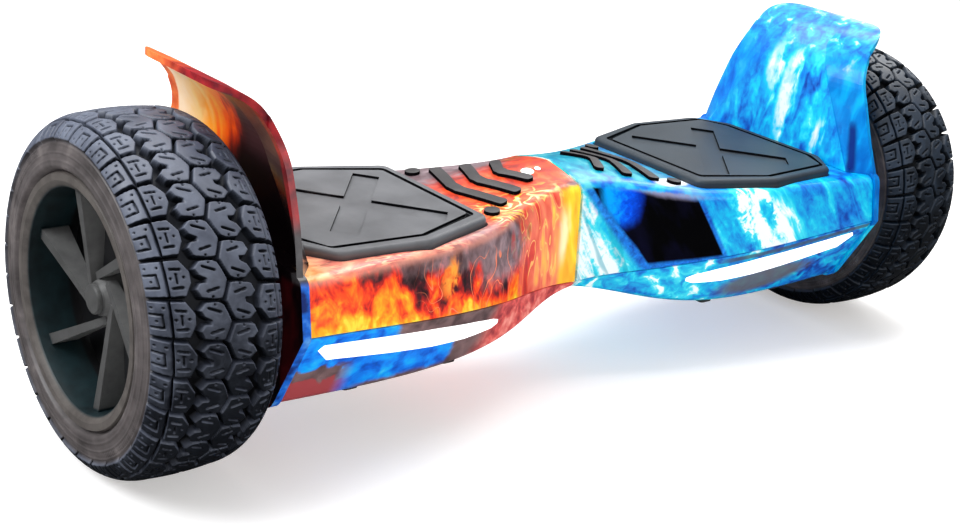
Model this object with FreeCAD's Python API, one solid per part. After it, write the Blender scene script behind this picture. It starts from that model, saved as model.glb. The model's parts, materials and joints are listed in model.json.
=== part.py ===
import FreeCAD, Part
import math
import os
from collections import namedtuple

# Off-road self balancing hoverboard: two deck halves that twist against each other on a steel tube, with a hub
# motor wheel at each end. Millimetres, +X along the wheel axles towards the right wheel, -Y towards the
# headlights, +Z up. Everything is built about the common axis of the wheels and the pivot tube, and lifted by the
# tyre's radius on export, so the exported origin is on the floor, midway between the two wheels.
# Every right-hand piece is built at positive X. Its left-hand twin is the mirror image in the plane X = 0.

V = FreeCAD.Vector

# ---- driving dimensions -------------------------------------------------------------------------------------
TYRE_R = 108.0            # 8.5 inch tyre
TYRE_IN_X = 270.0         # tyre's inner side plane
TYRE_OUT_X = 355.0        # tyre's outer side plane
RIM_BARREL_R = 72.0       # tyre seat
RIM_LIP_R = 75.0
RIM_OPEN_R = 66.0         # inside of the dish
RIM_WALL_IN_R = 61.5      # motor chamber
COVER_R = 69.0            # pocket for the motor cover
WEB_X = 316.0             # rim web between motor chamber and dish
WEB_T = 4.0
SPOKES = 6
SPOKE_SWEEP = 13.0        # the spokes pass the wheel's centre at this distance
SPOKE_TURN = 59.5         # degrees, where the first spoke stands
COVER_BOLT_R = 65.3
STATOR_X = (289.5, 303.0)

AXLE_R = 8.5
AXLE_FLAT = 6.5           # half height over the clamped flats
BEARING_R = 20.0
BEARING_W = 12.0

HULL_END_X = 254.0        # where the shells stop and the end flange starts
HALF_GAP = 1.0            # half the gap between the two deck halves
SHELL_T = 3.0
SEAM_GAP = 0.45           # half the gap between upper and lower shell
DECK_Z = 31.0             # flat top of the upper shell

TUBE_R = 17.0
TUBE_BORE_R = 14.0
BUSH_R = 20.0
COLLAR_R = 27.0
RUN_GAP = 0.05            # radial running clearance on shafts
SEAT_GAP = 0.02           # radial gap left on pressed and clamped seats
TWIST_DEG = 15.0          # how far one half twists against the other, each way

PAD_IN_X = 97.0           # rubber foot pad, in plan
PAD_OUT_X = 241.0
PAD_TOP_Z = 36.5
PAD_BASE_Z = 30.0
PAD_GAP = 0.8             # clearance round the pad in the shell opening

PLATE_TOP_Z = 27.0        # aluminium deck plate under the pad
PLATE_T = 5.0

PORT_X = 190.0            # charge socket and power button, on the rear face
PORT_Z = 2.0

# A hull cross-section: half width at the seam, top, crown of the top, seam height, lower edge of the chin (half
# width and height) and floor height.
Station = namedtuple("Station", "x half top crown seam chin_half chin floor")
STATIONS = (
    Station(HALF_GAP, 43.0, 46.0, 6.0, -30.0, 40.5, -33.5, -35.0),
    Station(30.0, 44.5, 43.0, 5.0, -29.0, 44.5, -38.5, -42.0),
    Station(65.0, 57.0, 36.5, 2.5, -25.5, 58.0, -44.0, -50.0),
    Station(100.0, 72.0, DECK_Z + 0.2, 0.4, -19.5, 65.5, -50.0, -56.0),
    Station(150.0, 85.0, DECK_Z, 0.0, -13.0, 68.0, -54.5, -60.0),
    Station(205.0, 91.5, DECK_Z, 0.0, -7.5, 69.0, -54.0, -60.0),
    Station(HULL_END_X, 96.0, DECK_Z, 0.0, -3.0, 70.0, -51.5, -58.0),
)
SHOULDER_IN = 13.0        # how far the rounded shoulder reaches in over the top
SHOULDER_DROP = 14.0      # and down the face
FACE_LEAN = 4.0           # the face leans in by this much from seam to shoulder


# ---- small helpers ------------------------------------------------------------------------------------------
def box(x0, x1, y0, y1, z0, z1):
    return Part.makeBox(x1 - x0, y1 - y0, z1 - z0, V(x0, y0, z0))


def rod(x0, x1, r, y=0.0, z=0.0):
    """A cylinder along X."""
    return Part.makeCylinder(r, x1 - x0, V(x0, y, z), V(1, 0, 0))


def ring(x0, x1, r_out, r_in, y=0.0, z=0.0):
    return rod(x0, x1, r_out, y, z).cut(rod(x0 - 1, x1 + 1, r_in, y, z))


def post(x, y, z0, z1, r):
    """A cylinder along Z."""
    return Part.makeCylinder(r, z1 - z0, V(x, y, z0), V(0, 0, 1))


def cross_rod(x, z, y0, y1, r):
    """A cylinder along Y."""
    return Part.makeCylinder(r, y1 - y0, V(x, y0, z), V(0, 1, 0))


def fuse(shapes):
    first, *rest = shapes
    return first.multiFuse(rest).removeSplitter() if rest else first


def group(shapes):
    """Separate solids that share one node."""
    solids = [s for shape in shapes for s in shape.Solids]
    return Part.makeCompound(solids)


def prism(points, start, direction):
    """A polygon, given in the plane through start, extruded along direction."""
    wire = Part.makePolygon([start + p for p in points] + [start + points[0]])
    return Part.Face(wire).extrude(direction)


def rounded_outline(points, radius, z):
    """A closed wire in plan through points, with every corner rounded by an arc."""
    count = len(points)
    edges = []
    ends = []
    for i in range(count):
        here = V(*points[i], z)
        before = (V(*points[i - 1], z) - here).normalize()
        after = (V(*points[(i + 1) % count], z) - here).normalize()
        half_angle = before.getAngle(after) / 2
        back = radius / math.tan(half_angle)
        bisector = (before + after).normalize()
        middle = here + bisector * (radius / math.sin(half_angle) - radius)
        ends.append((here + before * back, middle, here + after * back))
    for i in range(count):
        start, middle, stop = ends[i]
        edges.append(Part.Arc(start, middle, stop).toShape())
        edges.append(Part.LineSegment(stop, ends[(i + 1) % count][0]).toShape())
    return Part.Wire(edges)


def slab(points, radius, z0, z1):
    """A plan outline with rounded corners, extruded from z0 to z1."""
    return Part.Face(rounded_outline(points, radius, z0)).extrude(V(0, 0, z1 - z0))


def revolve_x(points):
    """A closed (x, radius) outline turned about the X axis."""
    wire = Part.makePolygon([V(x, 0, r) for x, r in points + points[:1]])
    return Part.Face(wire).revolve(V(0, 0, 0), V(1, 0, 0), 360)


def mirrored(shape):
    return shape.mirror(V(0, 0, 0), V(1, 0, 0))


def front_and_rear(shape):
    """A piece at -Y and its twin at +Y."""
    return [shape, shape.mirror(V(0, 0, 0), V(0, 1, 0))]


def turned(shape, degrees, centre=V(0, 0, 0), axis=V(1, 0, 0)):
    copy = shape.copy()
    copy.rotate(centre, axis, degrees)
    return copy


def around(shape, count, start=0.0):
    """Copies of a shape spaced evenly about the X axis."""
    return [turned(shape, start + 360.0 * i / count) for i in range(count)]


def tube_along(points, radius):
    """A round cable through the given points."""
    curve = Part.BSplineCurve()
    curve.interpolate(points)
    tangent = curve.tangent(curve.FirstParameter)[0]
    circle = Part.Wire(Part.makeCircle(radius, points[0], tangent))
    return Part.Wire(curve.toShape()).makePipeShell([circle], True, False)


# ---- the hull -----------------------------------------------------------------------------------------------
def hull_side(s, inset):
    """Edges of one side of a hull section, from the middle of the top to the middle of the floor."""
    edge_z = s.top - s.crown - inset
    top_mid = V(s.x, 0, s.top - inset)
    top_edge = V(s.x, s.half - SHOULDER_IN - inset, edge_z)
    face_top = V(s.x, s.half - FACE_LEAN - inset, s.top - s.crown - SHOULDER_DROP)
    seam = V(s.x, s.half - inset, s.seam)
    chin_low = V(s.x, s.chin_half - inset, s.chin + 0.5 * inset)
    floor_edge = V(s.x, s.chin_half - 11.0 - inset, s.floor + inset)
    floor_mid = V(s.x, 0, s.floor + inset)
    lean = (face_top - seam).normalize()
    chin = (chin_low - seam).normalize()
    crown_mid = V(s.x, top_edge.y / 2, s.top - inset - 0.25 * s.crown)
    shoulder = Part.BezierCurve()
    shoulder.setPoles([top_edge, top_edge + V(0, 8, -1), face_top + lean * 8, face_top])
    roll = Part.BezierCurve()
    roll.setPoles([chin_low, chin_low + chin * 3, floor_edge + V(0, 6, 0), floor_edge])
    crown = Part.BezierCurve()
    crown.setPoles([top_mid, crown_mid, top_edge])
    return [
        crown.toShape(),
        shoulder.toShape(),
        Part.LineSegment(face_top, seam).toShape(),
        Part.LineSegment(seam, chin_low).toShape(),
        roll.toShape(),
        Part.LineSegment(floor_edge, floor_mid).toShape(),
    ]


def hull_section(s, inset):
    right = hull_side(s, inset)
    left = [e.mirror(V(0, 0, 0), V(0, 1, 0)) for e in reversed(right)]
    return Part.Wire(Part.__sortEdges__(right + left))


def hull(inset=0.0):
    """The solid bounded by the hull's outside, moved in by inset."""
    return Part.makeLoft([hull_section(s, inset) for s in STATIONS], True, False)


def above_seam(gap):
    """Everything above the line where the two shells meet, as a prism."""
    seam = Part.BSplineCurve()
    seam.interpolate([V(s.x, -150, s.seam + gap) for s in STATIONS])
    start, stop = seam.StartPoint, seam.EndPoint
    first, last = V(-5, -150, start.z), V(HULL_END_X + 5, -150, stop.z)
    edges = [Part.LineSegment(first, start).toShape(), seam.toShape()]
    edges.append(Part.LineSegment(stop, last).toShape())
    top = 120.0
    corners = [last, V(last.x, -150, top), V(first.x, -150, top), first]
    edges += [Part.LineSegment(a, b).toShape() for a, b in zip(corners, corners[1:])]
    return Part.Face(Part.Wire(edges)).extrude(V(0, 300, 0))


def at_station(x, field):
    """One measure of the hull at x, interpolated between stations."""
    for a, b in zip(STATIONS, STATIONS[1:]):
        if a.x <= x <= b.x:
            share = (x - a.x) / (b.x - a.x)
            return getattr(a, field) * (1 - share) + getattr(b, field) * share
    return getattr(STATIONS[-1], field)


def pad_outline(grow=0.0):
    """The foot pad in plan: an elongated hexagon whose long corners point at the waist."""
    right = PAD_OUT_X + grow
    return [
        (PAD_IN_X - grow, -57 - grow), (158, -77 - grow), (222, -73 - grow), (right, -47 - grow / 2),
        (right, 47 + grow / 2), (222, 73 + grow), (158, 77 + grow), (PAD_IN_X - grow, 57 + grow),
    ]


# The light strip on the chin seen from the front: cut off aslant at the wheel end, a rounded end at the waist.
STRIP_OUTLINE = (
    (243.6, -15.2), (240.4, -11.8), (195.0, -16.8), (149.0, -22.0), (113.0, -27.4), (94.0, -31.0), (88.0, -33.2),
    (88.0, -35.8), (94.0, -37.8), (120.0, -38.4), (149.0, -36.6), (180.0, -32.8), (212.0, -28.2), (229.0, -25.6),
    (233.5, -25.2),
)


def strip_prism(front, grow=0.0):
    """The light strip's outline as a prism across the front or rear chin."""
    middle = V(165, 0, -25)
    points = []
    for x, z in STRIP_OUTLINE:
        point = V(x, 0, z)
        outward = (point - middle).normalize()
        points.append(point + V(outward.x * grow, 0, outward.z * grow * 2))
    solid = prism(points, V(0, -130, 0), V(0, 75, 0))
    return solid if front else solid.mirror(V(0, 0, 0), V(0, 1, 0))


FOOT_X = (121.0, 197.0)
FOOT_Y = 55.0
BOLT_X = (160.0, 236.0)
BOLT_Y = 44.0
BOLTS = tuple((x, y) for x in BOLT_X for y in (-BOLT_Y, BOLT_Y))
STATUS_LIGHTS = ((25.0, -8.0, 4.5), (16.0, -8.0, 2.2))


DOT_X = 84.0              # the round studs beside the widest chevron
DOT_Y = 43.5


def chevron(x_tip, half_span, sweep, width):
    """One grip chevron in plan, its point towards the wheel."""
    lead = [(x_tip - sweep, -half_span), (x_tip, -half_span * 0.12), (x_tip, half_span * 0.12),
            (x_tip - sweep, half_span)]
    trail = [(x - width, y * 0.94) for x, y in reversed(lead)]
    return lead + trail


def grip_plan(z0, z1):
    """Grip chevrons and dots, as upright prisms."""
    shapes = []
    for x_tip, half_span in ((84.5, 40.0), (65.5, 31.0), (46.5, 21.0)):
        shapes.append(slab(chevron(x_tip, half_span, 11.0, 8.4), 2.6, z0, z1))
    for y in (-DOT_Y, DOT_Y):
        shapes.append(post(DOT_X, y, z0, z1, 5.2))
    return shapes


# ---- shells -------------------------------------------------------------------------------------------------
def upper_shell(outer, inner):
    shell = outer.cut(inner).common(above_seam(SEAM_GAP))
    end_wall = inner.common(box(HALF_GAP, HALF_GAP + SHELL_T, -60, 60, -60, 60)).common(above_seam(SEAM_GAP))
    shell = shell.fuse(end_wall.cut(rod(-5, 10, COLLAR_R + 1)))
    return shell.cut(slab(pad_outline(PAD_GAP), 8.0, DECK_Z - 12, DECK_Z + 12))


def lower_shell(outer, inner):
    shell = outer.cut(inner).cut(above_seam(-SEAM_GAP))
    shell = shell.cut(rod(-5, 10, COLLAR_R + 1))
    ribs = [inner.common(box(x - 1, x + 1, -36, 36, -80, -46)) for x in (106.0, 226.0)]
    bosses = [post(x, y, -70, LUG_Z - 0.05, 4.0).common(inner) for x, y in BOLTS]
    shell = fuse([shell] + ribs + bosses)
    for x, y in BOLTS:
        floor = at_station(x, "floor")
        shell = shell.cut(post(x, y, -90, -20, 2.2)).cut(post(x, y, floor - 5, floor + 2.0, 4.2))
    for front in (True, False):
        shell = shell.cut(strip_prism(front, 0.3))
    return shell


def shell_bolts():
    """Four bolts that hold the lower shell up to the lugs of the frame."""
    bolts = []
    for x, y in BOLTS:
        seat = at_station(x, "floor") + 2.0
        bolts.append(post(x, y, seat - 1.8, seat, 4.0).fuse(post(x, y, seat, LUG_Z + 9, 2.0)))
    return bolts


def light_strips(outer, middle):
    """Two translucent strips flush in the chin of the lower shell."""
    band = outer.cut(middle)
    return [band.common(strip_prism(front)) for front in (True, False)]


def led_board():
    """The strip board behind a light strip: a thin board with a row of chips facing out."""
    board = box(0, 132, 0, 1.2, -5, 5)
    chips = [box(x, x + 5, -1.4, 0, -2.5, 2.5) for x in range(8, 124, 12)]
    shape = fuse([board] + chips)
    shape.rotate(V(0, 0, 0), V(0, 0, 1), -6.0)
    shape.translate(V(102, -57.5, -24))
    return shape


def feet(outer):
    """Small rubber feet under the lower shell."""
    shapes = []
    for x in FOOT_X:
        bottom = at_station(x, "floor") - 2.2
        pad = slab([(x - 6, -5), (x + 6, -5), (x + 6, 5), (x - 6, 5)], 3.0, bottom, -48)
        pad.translate(V(0, -FOOT_Y, 0))
        shapes += front_and_rear(pad.cut(outer))
    return shapes


# ---- end flange and fender ----------------------------------------------------------------------------------
FENDER_T = 4.0
FLANGE_X0 = HULL_END_X + 0.5
FLANGE_T = 5.5
FLARE_R = 51.0            # the fender's top curls outwards on this radius
FLARE_Z = 84.0
LIP_X = 291.0             # the curled lip in plan: reach, half width and where its side edges start
LIP_HALF = 56.4
LIP_START_X = 265.0
FENDER_BOLTS = ((40.0, 8.0), (-40.0, 8.0))

# A fender section on the deck side: height, half width, half width at the crease and set-back of the edge.
FenderLevel = namedtuple("FenderLevel", "z edge crease back")
FENDER_LEVELS = (
    FenderLevel(31.1, 88.0, 72.0, 14.0),
    FenderLevel(52.0, 80.5, 60.5, 9.5),
    FenderLevel(70.0, 74.0, 49.5, 7.0),
    FenderLevel(85.0, 68.5, 40.0, 5.5),
    FenderLevel(100.0, 63.0, 31.0, 5.0),
    FenderLevel(112.0, 59.5, 22.0, 4.2),
    FenderLevel(121.0, 57.5, 20.0, 2.4),
    FenderLevel(128.0, 56.5, 25.0, 1.0),
    FenderLevel(132.5, 56.2, 33.0, 0.3),
    FenderLevel(134.7, 56.0, 40.0, 0.1),
)


def between(levels, steps):
    """The levels with further ones between them, on a smooth curve through all of them."""
    padded = [levels[0]] + list(levels) + [levels[-1]]
    result = []
    for a, b, c, d in zip(padded, padded[1:], padded[2:], padded[3:]):
        for i in range(steps):
            t = i / steps
            values = []
            for ka, kb, kc, kd in zip(a, b, c, d):
                bend = (2 * ka - 5 * kb + 4 * kc - kd) * t ** 2 + (3 * kb - ka - 3 * kc + kd) * t ** 3
                values.append(kb + 0.5 * ((kc - ka) * t + bend))
            result.append(FenderLevel(*values))
    return result + [levels[-1]]


def fender_wall_x(z):
    """The deck side of the fender wall at height z, and the wall's slope as an angle from the vertical."""
    lean = 6.0 * min(z - DECK_Z, FLARE_Z - DECK_Z) / (FLARE_Z - DECK_Z)
    rise = max(0.0, z - FLARE_Z)
    curl = FLARE_R - math.sqrt(FLARE_R ** 2 - rise ** 2)
    return 242.3 + lean + curl, math.asin(rise / FLARE_R)


def fender_section(level):
    """The outline of the wall in the plane square to its surface: a flat with a set-back bevel at each end."""
    x, slope = fender_wall_x(level.z)
    out = V(math.cos(slope), 0, -math.sin(slope))
    base = V(x, 0, level.z)

    def side(y, depth):
        return base + V(0, y, 0) + out * depth

    deck = [side(-level.edge, level.back), side(-level.crease, 0), side(level.crease, 0),
            side(level.edge, level.back)]
    wheel = [side(level.edge - 0.5, level.back + FENDER_T), side(level.crease - 1, FENDER_T),
             side(-level.crease + 1, FENDER_T), side(-level.edge + 0.5, level.back + FENDER_T)]
    return Part.makePolygon(deck + wheel + deck[:1])


def flange_plate(x0, x1):
    """A plate with the outline of the hull's end, grown a little."""
    end = STATIONS[-1]
    section = end._replace(x=x0, half=end.half + 1.5, top=DECK_Z + 1.5, chin_half=end.chin_half + 2.0,
                           chin=end.chin + 1.0, floor=end.floor - 1.5)
    return Part.Face(hull_section(section, 0.0)).extrude(V(x1 - x0, 0, 0))


def fender():
    """The end plate of a deck half and the wheel guard that rises from it."""
    wall = Part.makeLoft([fender_section(level) for level in between(FENDER_LEVELS, 4)], True, True)
    lip = slab([(230, -LIP_HALF), (LIP_X, -LIP_HALF), (LIP_X, LIP_HALF), (230, LIP_HALF)], 24.0, 0, 200)
    wall = wall.common(lip.fuse(box(200, LIP_START_X, -95, 95, 0, 200)))
    flange = flange_plate(FLANGE_X0, FLANGE_X0 + FLANGE_T)
    shelf = box(244.0, FLANGE_X0 + FLANGE_T, -74, 74, DECK_Z + 0.1, DECK_Z + 3.0)
    bosses = [rod(250.05, FLANGE_X0 + 1, 5.0, y, z) for y, z in FENDER_BOLTS]
    body = fuse([wall, flange, shelf] + bosses).cut(rod(200, 300, 21.0))
    for y, z in FENDER_BOLTS:
        body = body.cut(rod(240, 270, 2.1, y, z))
    return body


def fender_bolts():
    x = FLANGE_X0 + FLANGE_T
    return [rod(x + 0.05, x + 2.3, 4.0, y, z).fuse(rod(240.5, x + 0.05, 2.0, y, z)) for y, z in FENDER_BOLTS]


# ---- frame --------------------------------------------------------------------------------------------------
PLUNGER_X = 166.0
PLUNGER_Y = 24.0
SEAT_X = (226.0, 250.0)
SEAT_Y = 26.0
SKIRT_Y = (52.0, 56.0)
LUG_Z = -30.0             # underside of the lugs for the shell bolts
CLAMP_BOLTS = tuple((x, y) for x in (232.0, 244.0) for y in (-18.0, 18.0))
COLLAR_X = (10.0, 72.0)
BOARD_Z = 7.0             # underside of the sensor board
BOARD_POSTS = tuple((PLUNGER_X + dx, dy) for dx in (-12.0, 12.0) for dy in (-33.0, 33.0))


def axle_passage(gap):
    """The flatted part of the axle, with a gap all round."""
    flats = box(200, 262, -20, 20, -AXLE_FLAT - gap, AXLE_FLAT + gap)
    return rod(200, 262, AXLE_R - 0.5 + gap).common(flats)


def frame(bore_r):
    """The cast aluminium half frame: deck plate, skirts, axle seat, neck and pivot collar."""
    z0, z1 = PLATE_TOP_Z - PLATE_T, PLATE_TOP_Z
    plate = slab([(86, -44), (150, -64), (250, -68), (250, 68), (150, 64), (86, 44)], 6.0, z0, z1)
    skirts = front_and_rear(box(100, 250, -SKIRT_Y[1], -SKIRT_Y[0], -14, z0 + 1))
    end_wall = box(246, 250, -SKIRT_Y[1], SKIRT_Y[1], -14, z0 + 1)
    inner_wall = box(98, 102, -48, 48, -14, z0 + 1)
    ribs = [box(x, x + 3, -53, 53, 10, z0 + 1) for x in (130.0, 198.0)]
    seat = box(*SEAT_X, -SEAT_Y, SEAT_Y, 0.3, z0 + 1)
    neck = prism([V(60, 0, -20), V(102, 0, -14), V(102, 0, z1 - 4), V(60, 0, 20)], V(0, -22, 0), V(0, 44, 0))
    collar = rod(*COLLAR_X, COLLAR_R)
    web = prism([V(40, 0, 20), V(102, 0, 18), V(102, 0, z1), V(86, 0, z1), V(40, 0, 26)], V(0, -5, 0), V(0, 10, 0))
    lugs = [front_and_rear(box(x - 5, x + 5, -53, -39, LUG_Z, -8)) for x in BOLT_X]
    posts = [post(x, y, BOARD_Z + 1.65, z0 + 1, 2.5) for x, y in BOARD_POSTS]
    body = fuse([plate, end_wall, inner_wall, seat, neck, collar, web] + skirts + ribs + lugs[0] + lugs[1] + posts)
    body = body.cut(rod(0, COLLAR_X[1] + 6, bore_r)).cut(rod(70, 110, 12.5))
    body = body.cut(box(200, 252, -SEAT_Y - 0.5, SEAT_Y + 0.5, -20, 0.3)).cut(axle_passage(SEAT_GAP))
    for y in (-PLUNGER_Y, PLUNGER_Y):
        body = body.cut(post(PLUNGER_X, y, 0, 40, 4.5))
    for x, y in CLAMP_BOLTS:
        body = body.cut(post(x, y, -1, 18, 2.52))
    for x, y in BOLTS:
        body = body.cut(post(x, y, LUG_Z - 1, LUG_Z + 10, 2.02))
    for y, z in FENDER_BOLTS:
        body = body.cut(rod(240, 252, 2.02, y, z))
    return body


def axle_clamp():
    """The cap that clamps the axle up into its seat."""
    clamp = box(*SEAT_X, -SEAT_Y, SEAT_Y, -14, -0.3).cut(axle_passage(SEAT_GAP))
    for x, y in CLAMP_BOLTS:
        clamp = clamp.cut(post(x, y, -20, 5, 2.8))
    return clamp


def clamp_bolts():
    return [post(x, y, -14.1, 17, 2.5).fuse(post(x, y, -18, -14.1, 4.4)) for x, y in CLAMP_BOLTS]


# ---- pivot --------------------------------------------------------------------------------------------------
STOP_X = 20.0
STOP_R = 3.0


def pivot_tube():
    """A steel tube held in the left collar and carried by two bushes in the right collar."""
    tube = ring(-COLLAR_X[1], 78, TUBE_R, TUBE_BORE_R)
    tube = tube.cut(ring(73.6, 75.4, TUBE_R + 1, TUBE_R - 1.2))
    return tube.cut(post(STOP_X, 0, 5, 20, STOP_R))


def stop_pin():
    """A dowel in the tube that runs in a slot of the right collar and limits the twist."""
    return post(STOP_X, 0, TUBE_BORE_R - 1, COLLAR_R - 0.5, STOP_R - SEAT_GAP)


def stop_slot():
    """The slot in the right collar that the stop pin runs in: a wedge of the space above the tube."""
    half_angle = math.radians(TWIST_DEG + 0.6) + math.asin(STOP_R / BUSH_R)
    side = 60.0 * math.tan(half_angle)
    half_length = STOP_R + 0.4
    return prism([V(0, 0, 0), V(0, side, 60), V(0, -side, 60)], V(STOP_X - half_length, 0, 0),
                 V(2 * half_length, 0, 0))


def pivot_bushes():
    """Two plastic bushes between the tube and the right collar."""
    return [ring(x0, x0 + 18, BUSH_R - SEAT_GAP, TUBE_R + RUN_GAP) for x0 in (28.0, 54.0)]


def snap_ring():
    """A retaining ring in the tube's groove, open at the bottom, with its thrust washer."""
    clip = ring(73.7, 75.2, BUSH_R - 0.6, TUBE_R - 1.1).cut(box(73, 76, -4, 4, -30, 0))
    washer = ring(72.1, 73.5, BUSH_R - 0.3, TUBE_R + RUN_GAP)
    return [clip, washer]


# ---- foot pad -----------------------------------------------------------------------------------------------
GROOVE_W = 3.6            # width of the groove inside the pad's border
GROOVE_DEPTH = 2.4
CROSS_DEPTH = 1.8         # the X is sunk this far
CROSS_X = 163.0
CROSS_Y = -3.0


def foot_pad():
    """A rubber mat with a rounded border, a groove inside it and a wide sunken X."""
    body = slab(pad_outline(), 9.0, PAD_BASE_Z, PAD_TOP_Z)
    top = [e for e in body.Edges if e.BoundBox.ZMin > PAD_TOP_Z - 0.01]
    body = body.makeFillet(3.2, top)
    groove_z = PAD_TOP_Z - GROOVE_DEPTH
    groove = slab(pad_outline(-6.7), 5.0, groove_z, PAD_TOP_Z + 1).cut(
        slab(pad_outline(-6.7 - GROOVE_W), 4.0, groove_z - 1, PAD_TOP_Z + 2))
    return body.cut(groove).cut(sunken_cross())


def sunken_cross():
    """The X: four equal arms whose sides meet in four inner corners round its middle."""
    middle = V(CROSS_X, CROSS_Y, PAD_TOP_Z - CROSS_DEPTH)
    slope = math.radians(49)
    arm_x, arm_y = 50 * math.cos(slope), 50 * math.sin(slope)
    inner = (V(12, 0, 0), V(0, 13.7, 0), V(-12, 0, 0), V(0, -13.7, 0))
    directions = (V(arm_x, arm_y, 0), V(-arm_x, arm_y, 0), V(-arm_x, -arm_y, 0), V(arm_x, -arm_y, 0))
    points = []
    for i, direction in enumerate(directions):
        start, stop = inner[i], inner[(i + 1) % 4]
        points += [middle + start, middle + start + direction, middle + stop + direction]
    return prism(points, V(0, 0, 0), V(0, 0, CROSS_DEPTH + 1))


def plungers():
    """The two sensor plungers under the pad: a stem with a thin blade that crosses the light gate."""
    shapes = []
    for y in (-PLUNGER_Y, PLUNGER_Y):
        stem = post(PLUNGER_X, y, 21.0, PAD_BASE_Z, 3.6)
        blade = box(PLUNGER_X - 3.0, PLUNGER_X + 3.0, y - 0.7, y + 0.7, 14.5, 21.0)
        shapes.append(stem.fuse(blade))
    return shapes


# ---- wheel --------------------------------------------------------------------------------------------------
TREAD_PITCH = 10.0        # degrees between shoulder lugs


def tyre():
    """A pneumatic tyre: a rounded casing with a block tread, hollow between its beads."""
    x0, shoulder = TYRE_IN_X, 24.0
    r = TYRE_R
    half = [(x0 + 14.0, RIM_BARREL_R), (x0 + 5.0, RIM_BARREL_R), (x0 + 5.0, RIM_LIP_R + 1.5),
            (x0 + 1.0, RIM_LIP_R + 3.5), (x0, r - shoulder)]
    steps = 8
    for i in range(1, steps + 1):
        a = math.pi / 2 * i / steps
        half.append((x0 + shoulder * (1 - math.cos(a)), r - shoulder + shoulder * math.sin(a)))
    inside = [(x0 + 14.0, RIM_BARREL_R + 4), (x0 + 9.0, 84.0), (x0 + 11.0, 92.0), (x0 + 19.0, 98.0)]
    middle = (x0 + TYRE_OUT_X) / 2
    mirror = [(2 * middle - x, rr) for x, rr in reversed(half)]
    mirror_inside = [(2 * middle - x, rr) for x, rr in inside]
    body = revolve_x(half + mirror + mirror_inside + inside[::-1])
    return body.cut(Part.makeCompound(tread_grooves(middle)))


def tread_grooves(middle):
    """Grooves that split the tread into lugs: notches across both shoulders and a zigzag between them."""
    depth = TYRE_R - 6.0
    notch = box(middle + 20, middle + 50, -1.8, 1.8, depth - 14, TYRE_R + 5)
    count = int(360 / TREAD_PITCH)
    cuts = around(notch, count)
    cuts += around(notch.mirror(V(middle, 0, 0), V(1, 0, 0)), count, TREAD_PITCH / 2)
    lean = 30.0
    for i in range(count):
        for x, turn in ((middle + 15, lean), (middle - 15, -lean)):
            bar = box(x - 1.5, x + 1.5, -12, 12, depth, TYRE_R + 5)
            sign = 1 if i % 2 else -1
            cuts.append(turned(turned(bar, sign * lean, V(x, 0, 0), V(0, 0, 1)), i * TREAD_PITCH))
    return cuts


def rim():
    """The cast rim: barrel with two lips, the web over the motor and six deep blades in the dish."""
    lip_in, lip_out = TYRE_IN_X + 2.5, TYRE_OUT_X - 2.5
    seat_r = RIM_BARREL_R - SEAT_GAP
    barrel = revolve_x([
        (lip_in, COVER_R), (lip_in, RIM_LIP_R), (lip_in + 2.3, RIM_LIP_R), (lip_in + 2.45, seat_r),
        (lip_out - 2.45, seat_r), (lip_out - 2.3, RIM_LIP_R), (lip_out, RIM_LIP_R - 1),
        (lip_out, RIM_OPEN_R + 4), (lip_out - 3, RIM_OPEN_R), (WEB_X + 2, RIM_OPEN_R - 1), (WEB_X + 2, RIM_WALL_IN_R),
        (lip_in + 5, RIM_WALL_IN_R), (lip_in + 5, COVER_R),
    ])
    web = ring(WEB_X, WEB_X + WEB_T, RIM_OPEN_R, 5.0)
    bearing_seat = ring(WEB_X - BEARING_W, WEB_X + 1, BEARING_R + 4, BEARING_R + SEAT_GAP)
    hub = revolve_x([(WEB_X + 1, 4.5), (WEB_X + 1, 24), (WEB_X + 5, 16), (328.0, 13.5), (337.0, 10.0), (338.0, 9.0),
                     (338.0, 4.5)])
    body = fuse([barrel, web, bearing_seat, hub] + around(spoke(), SPOKES, SPOKE_TURN))
    for hole in around(cover_bolt_hole(1.52), SPOKES):
        body = body.cut(hole)
    return body


def spoke():
    """One blade from the hub to the dish: thin across, deep along the axle, its face rising towards the lip."""
    y = SPOKE_SWEEP
    wires = []
    for z, face_x, back_x, half in ((0.0, 335.0, 329.0, 2.2), (30.0, 339.0, 328.0, 2.6), (64.3, 344.0, 327.0, 3.4)):
        corners = [V(back_x, y - half, z), V(face_x, y - half, z), V(face_x, y + half, z), V(back_x, y + half, z)]
        wires.append(Part.makePolygon(corners + corners[:1]))
    return Part.makeLoft(wires, True, True)


def hub_cap():
    """The round cap pressed into the hub's nose."""
    return revolve_x([(330.0, 0.0), (330.0, 4.48), (338.05, 4.48), (338.05, 8.8), (340.4, 8.8), (341.0, 8.0),
                      (341.0, 0.0)])


def motor_cover():
    """The inner cover that closes the motor and carries the inner bearing."""
    x0 = TYRE_IN_X + 4.0
    disc = ring(x0, x0 + 3.4, COVER_R - 0.1, 12.0)
    seat = ring(x0, x0 + 2 + BEARING_W, BEARING_R + 4, 12.0)
    spigot = ring(x0 + 3.4, x0 + 6, RIM_WALL_IN_R - 0.1, RIM_WALL_IN_R - 4)
    cover = fuse([disc, seat, spigot]).cut(rod(x0 + 2, x0 + 30, BEARING_R + SEAT_GAP))
    for hole in around(cover_bolt_hole(1.7), SPOKES):
        cover = cover.cut(hole)
    return cover


def cover_bolt_hole(radius):
    return rod(TYRE_IN_X, TYRE_IN_X + 18, radius, 0, COVER_BOLT_R)


def cover_bolts():
    x0 = TYRE_IN_X + 4.0
    bolt = rod(x0 - 2.0, x0 - 0.05, 3.0, 0, COVER_BOLT_R).fuse(rod(x0 - 0.05, x0 + 12, 1.5, 0, COVER_BOLT_R))
    return around(bolt, SPOKES)


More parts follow.
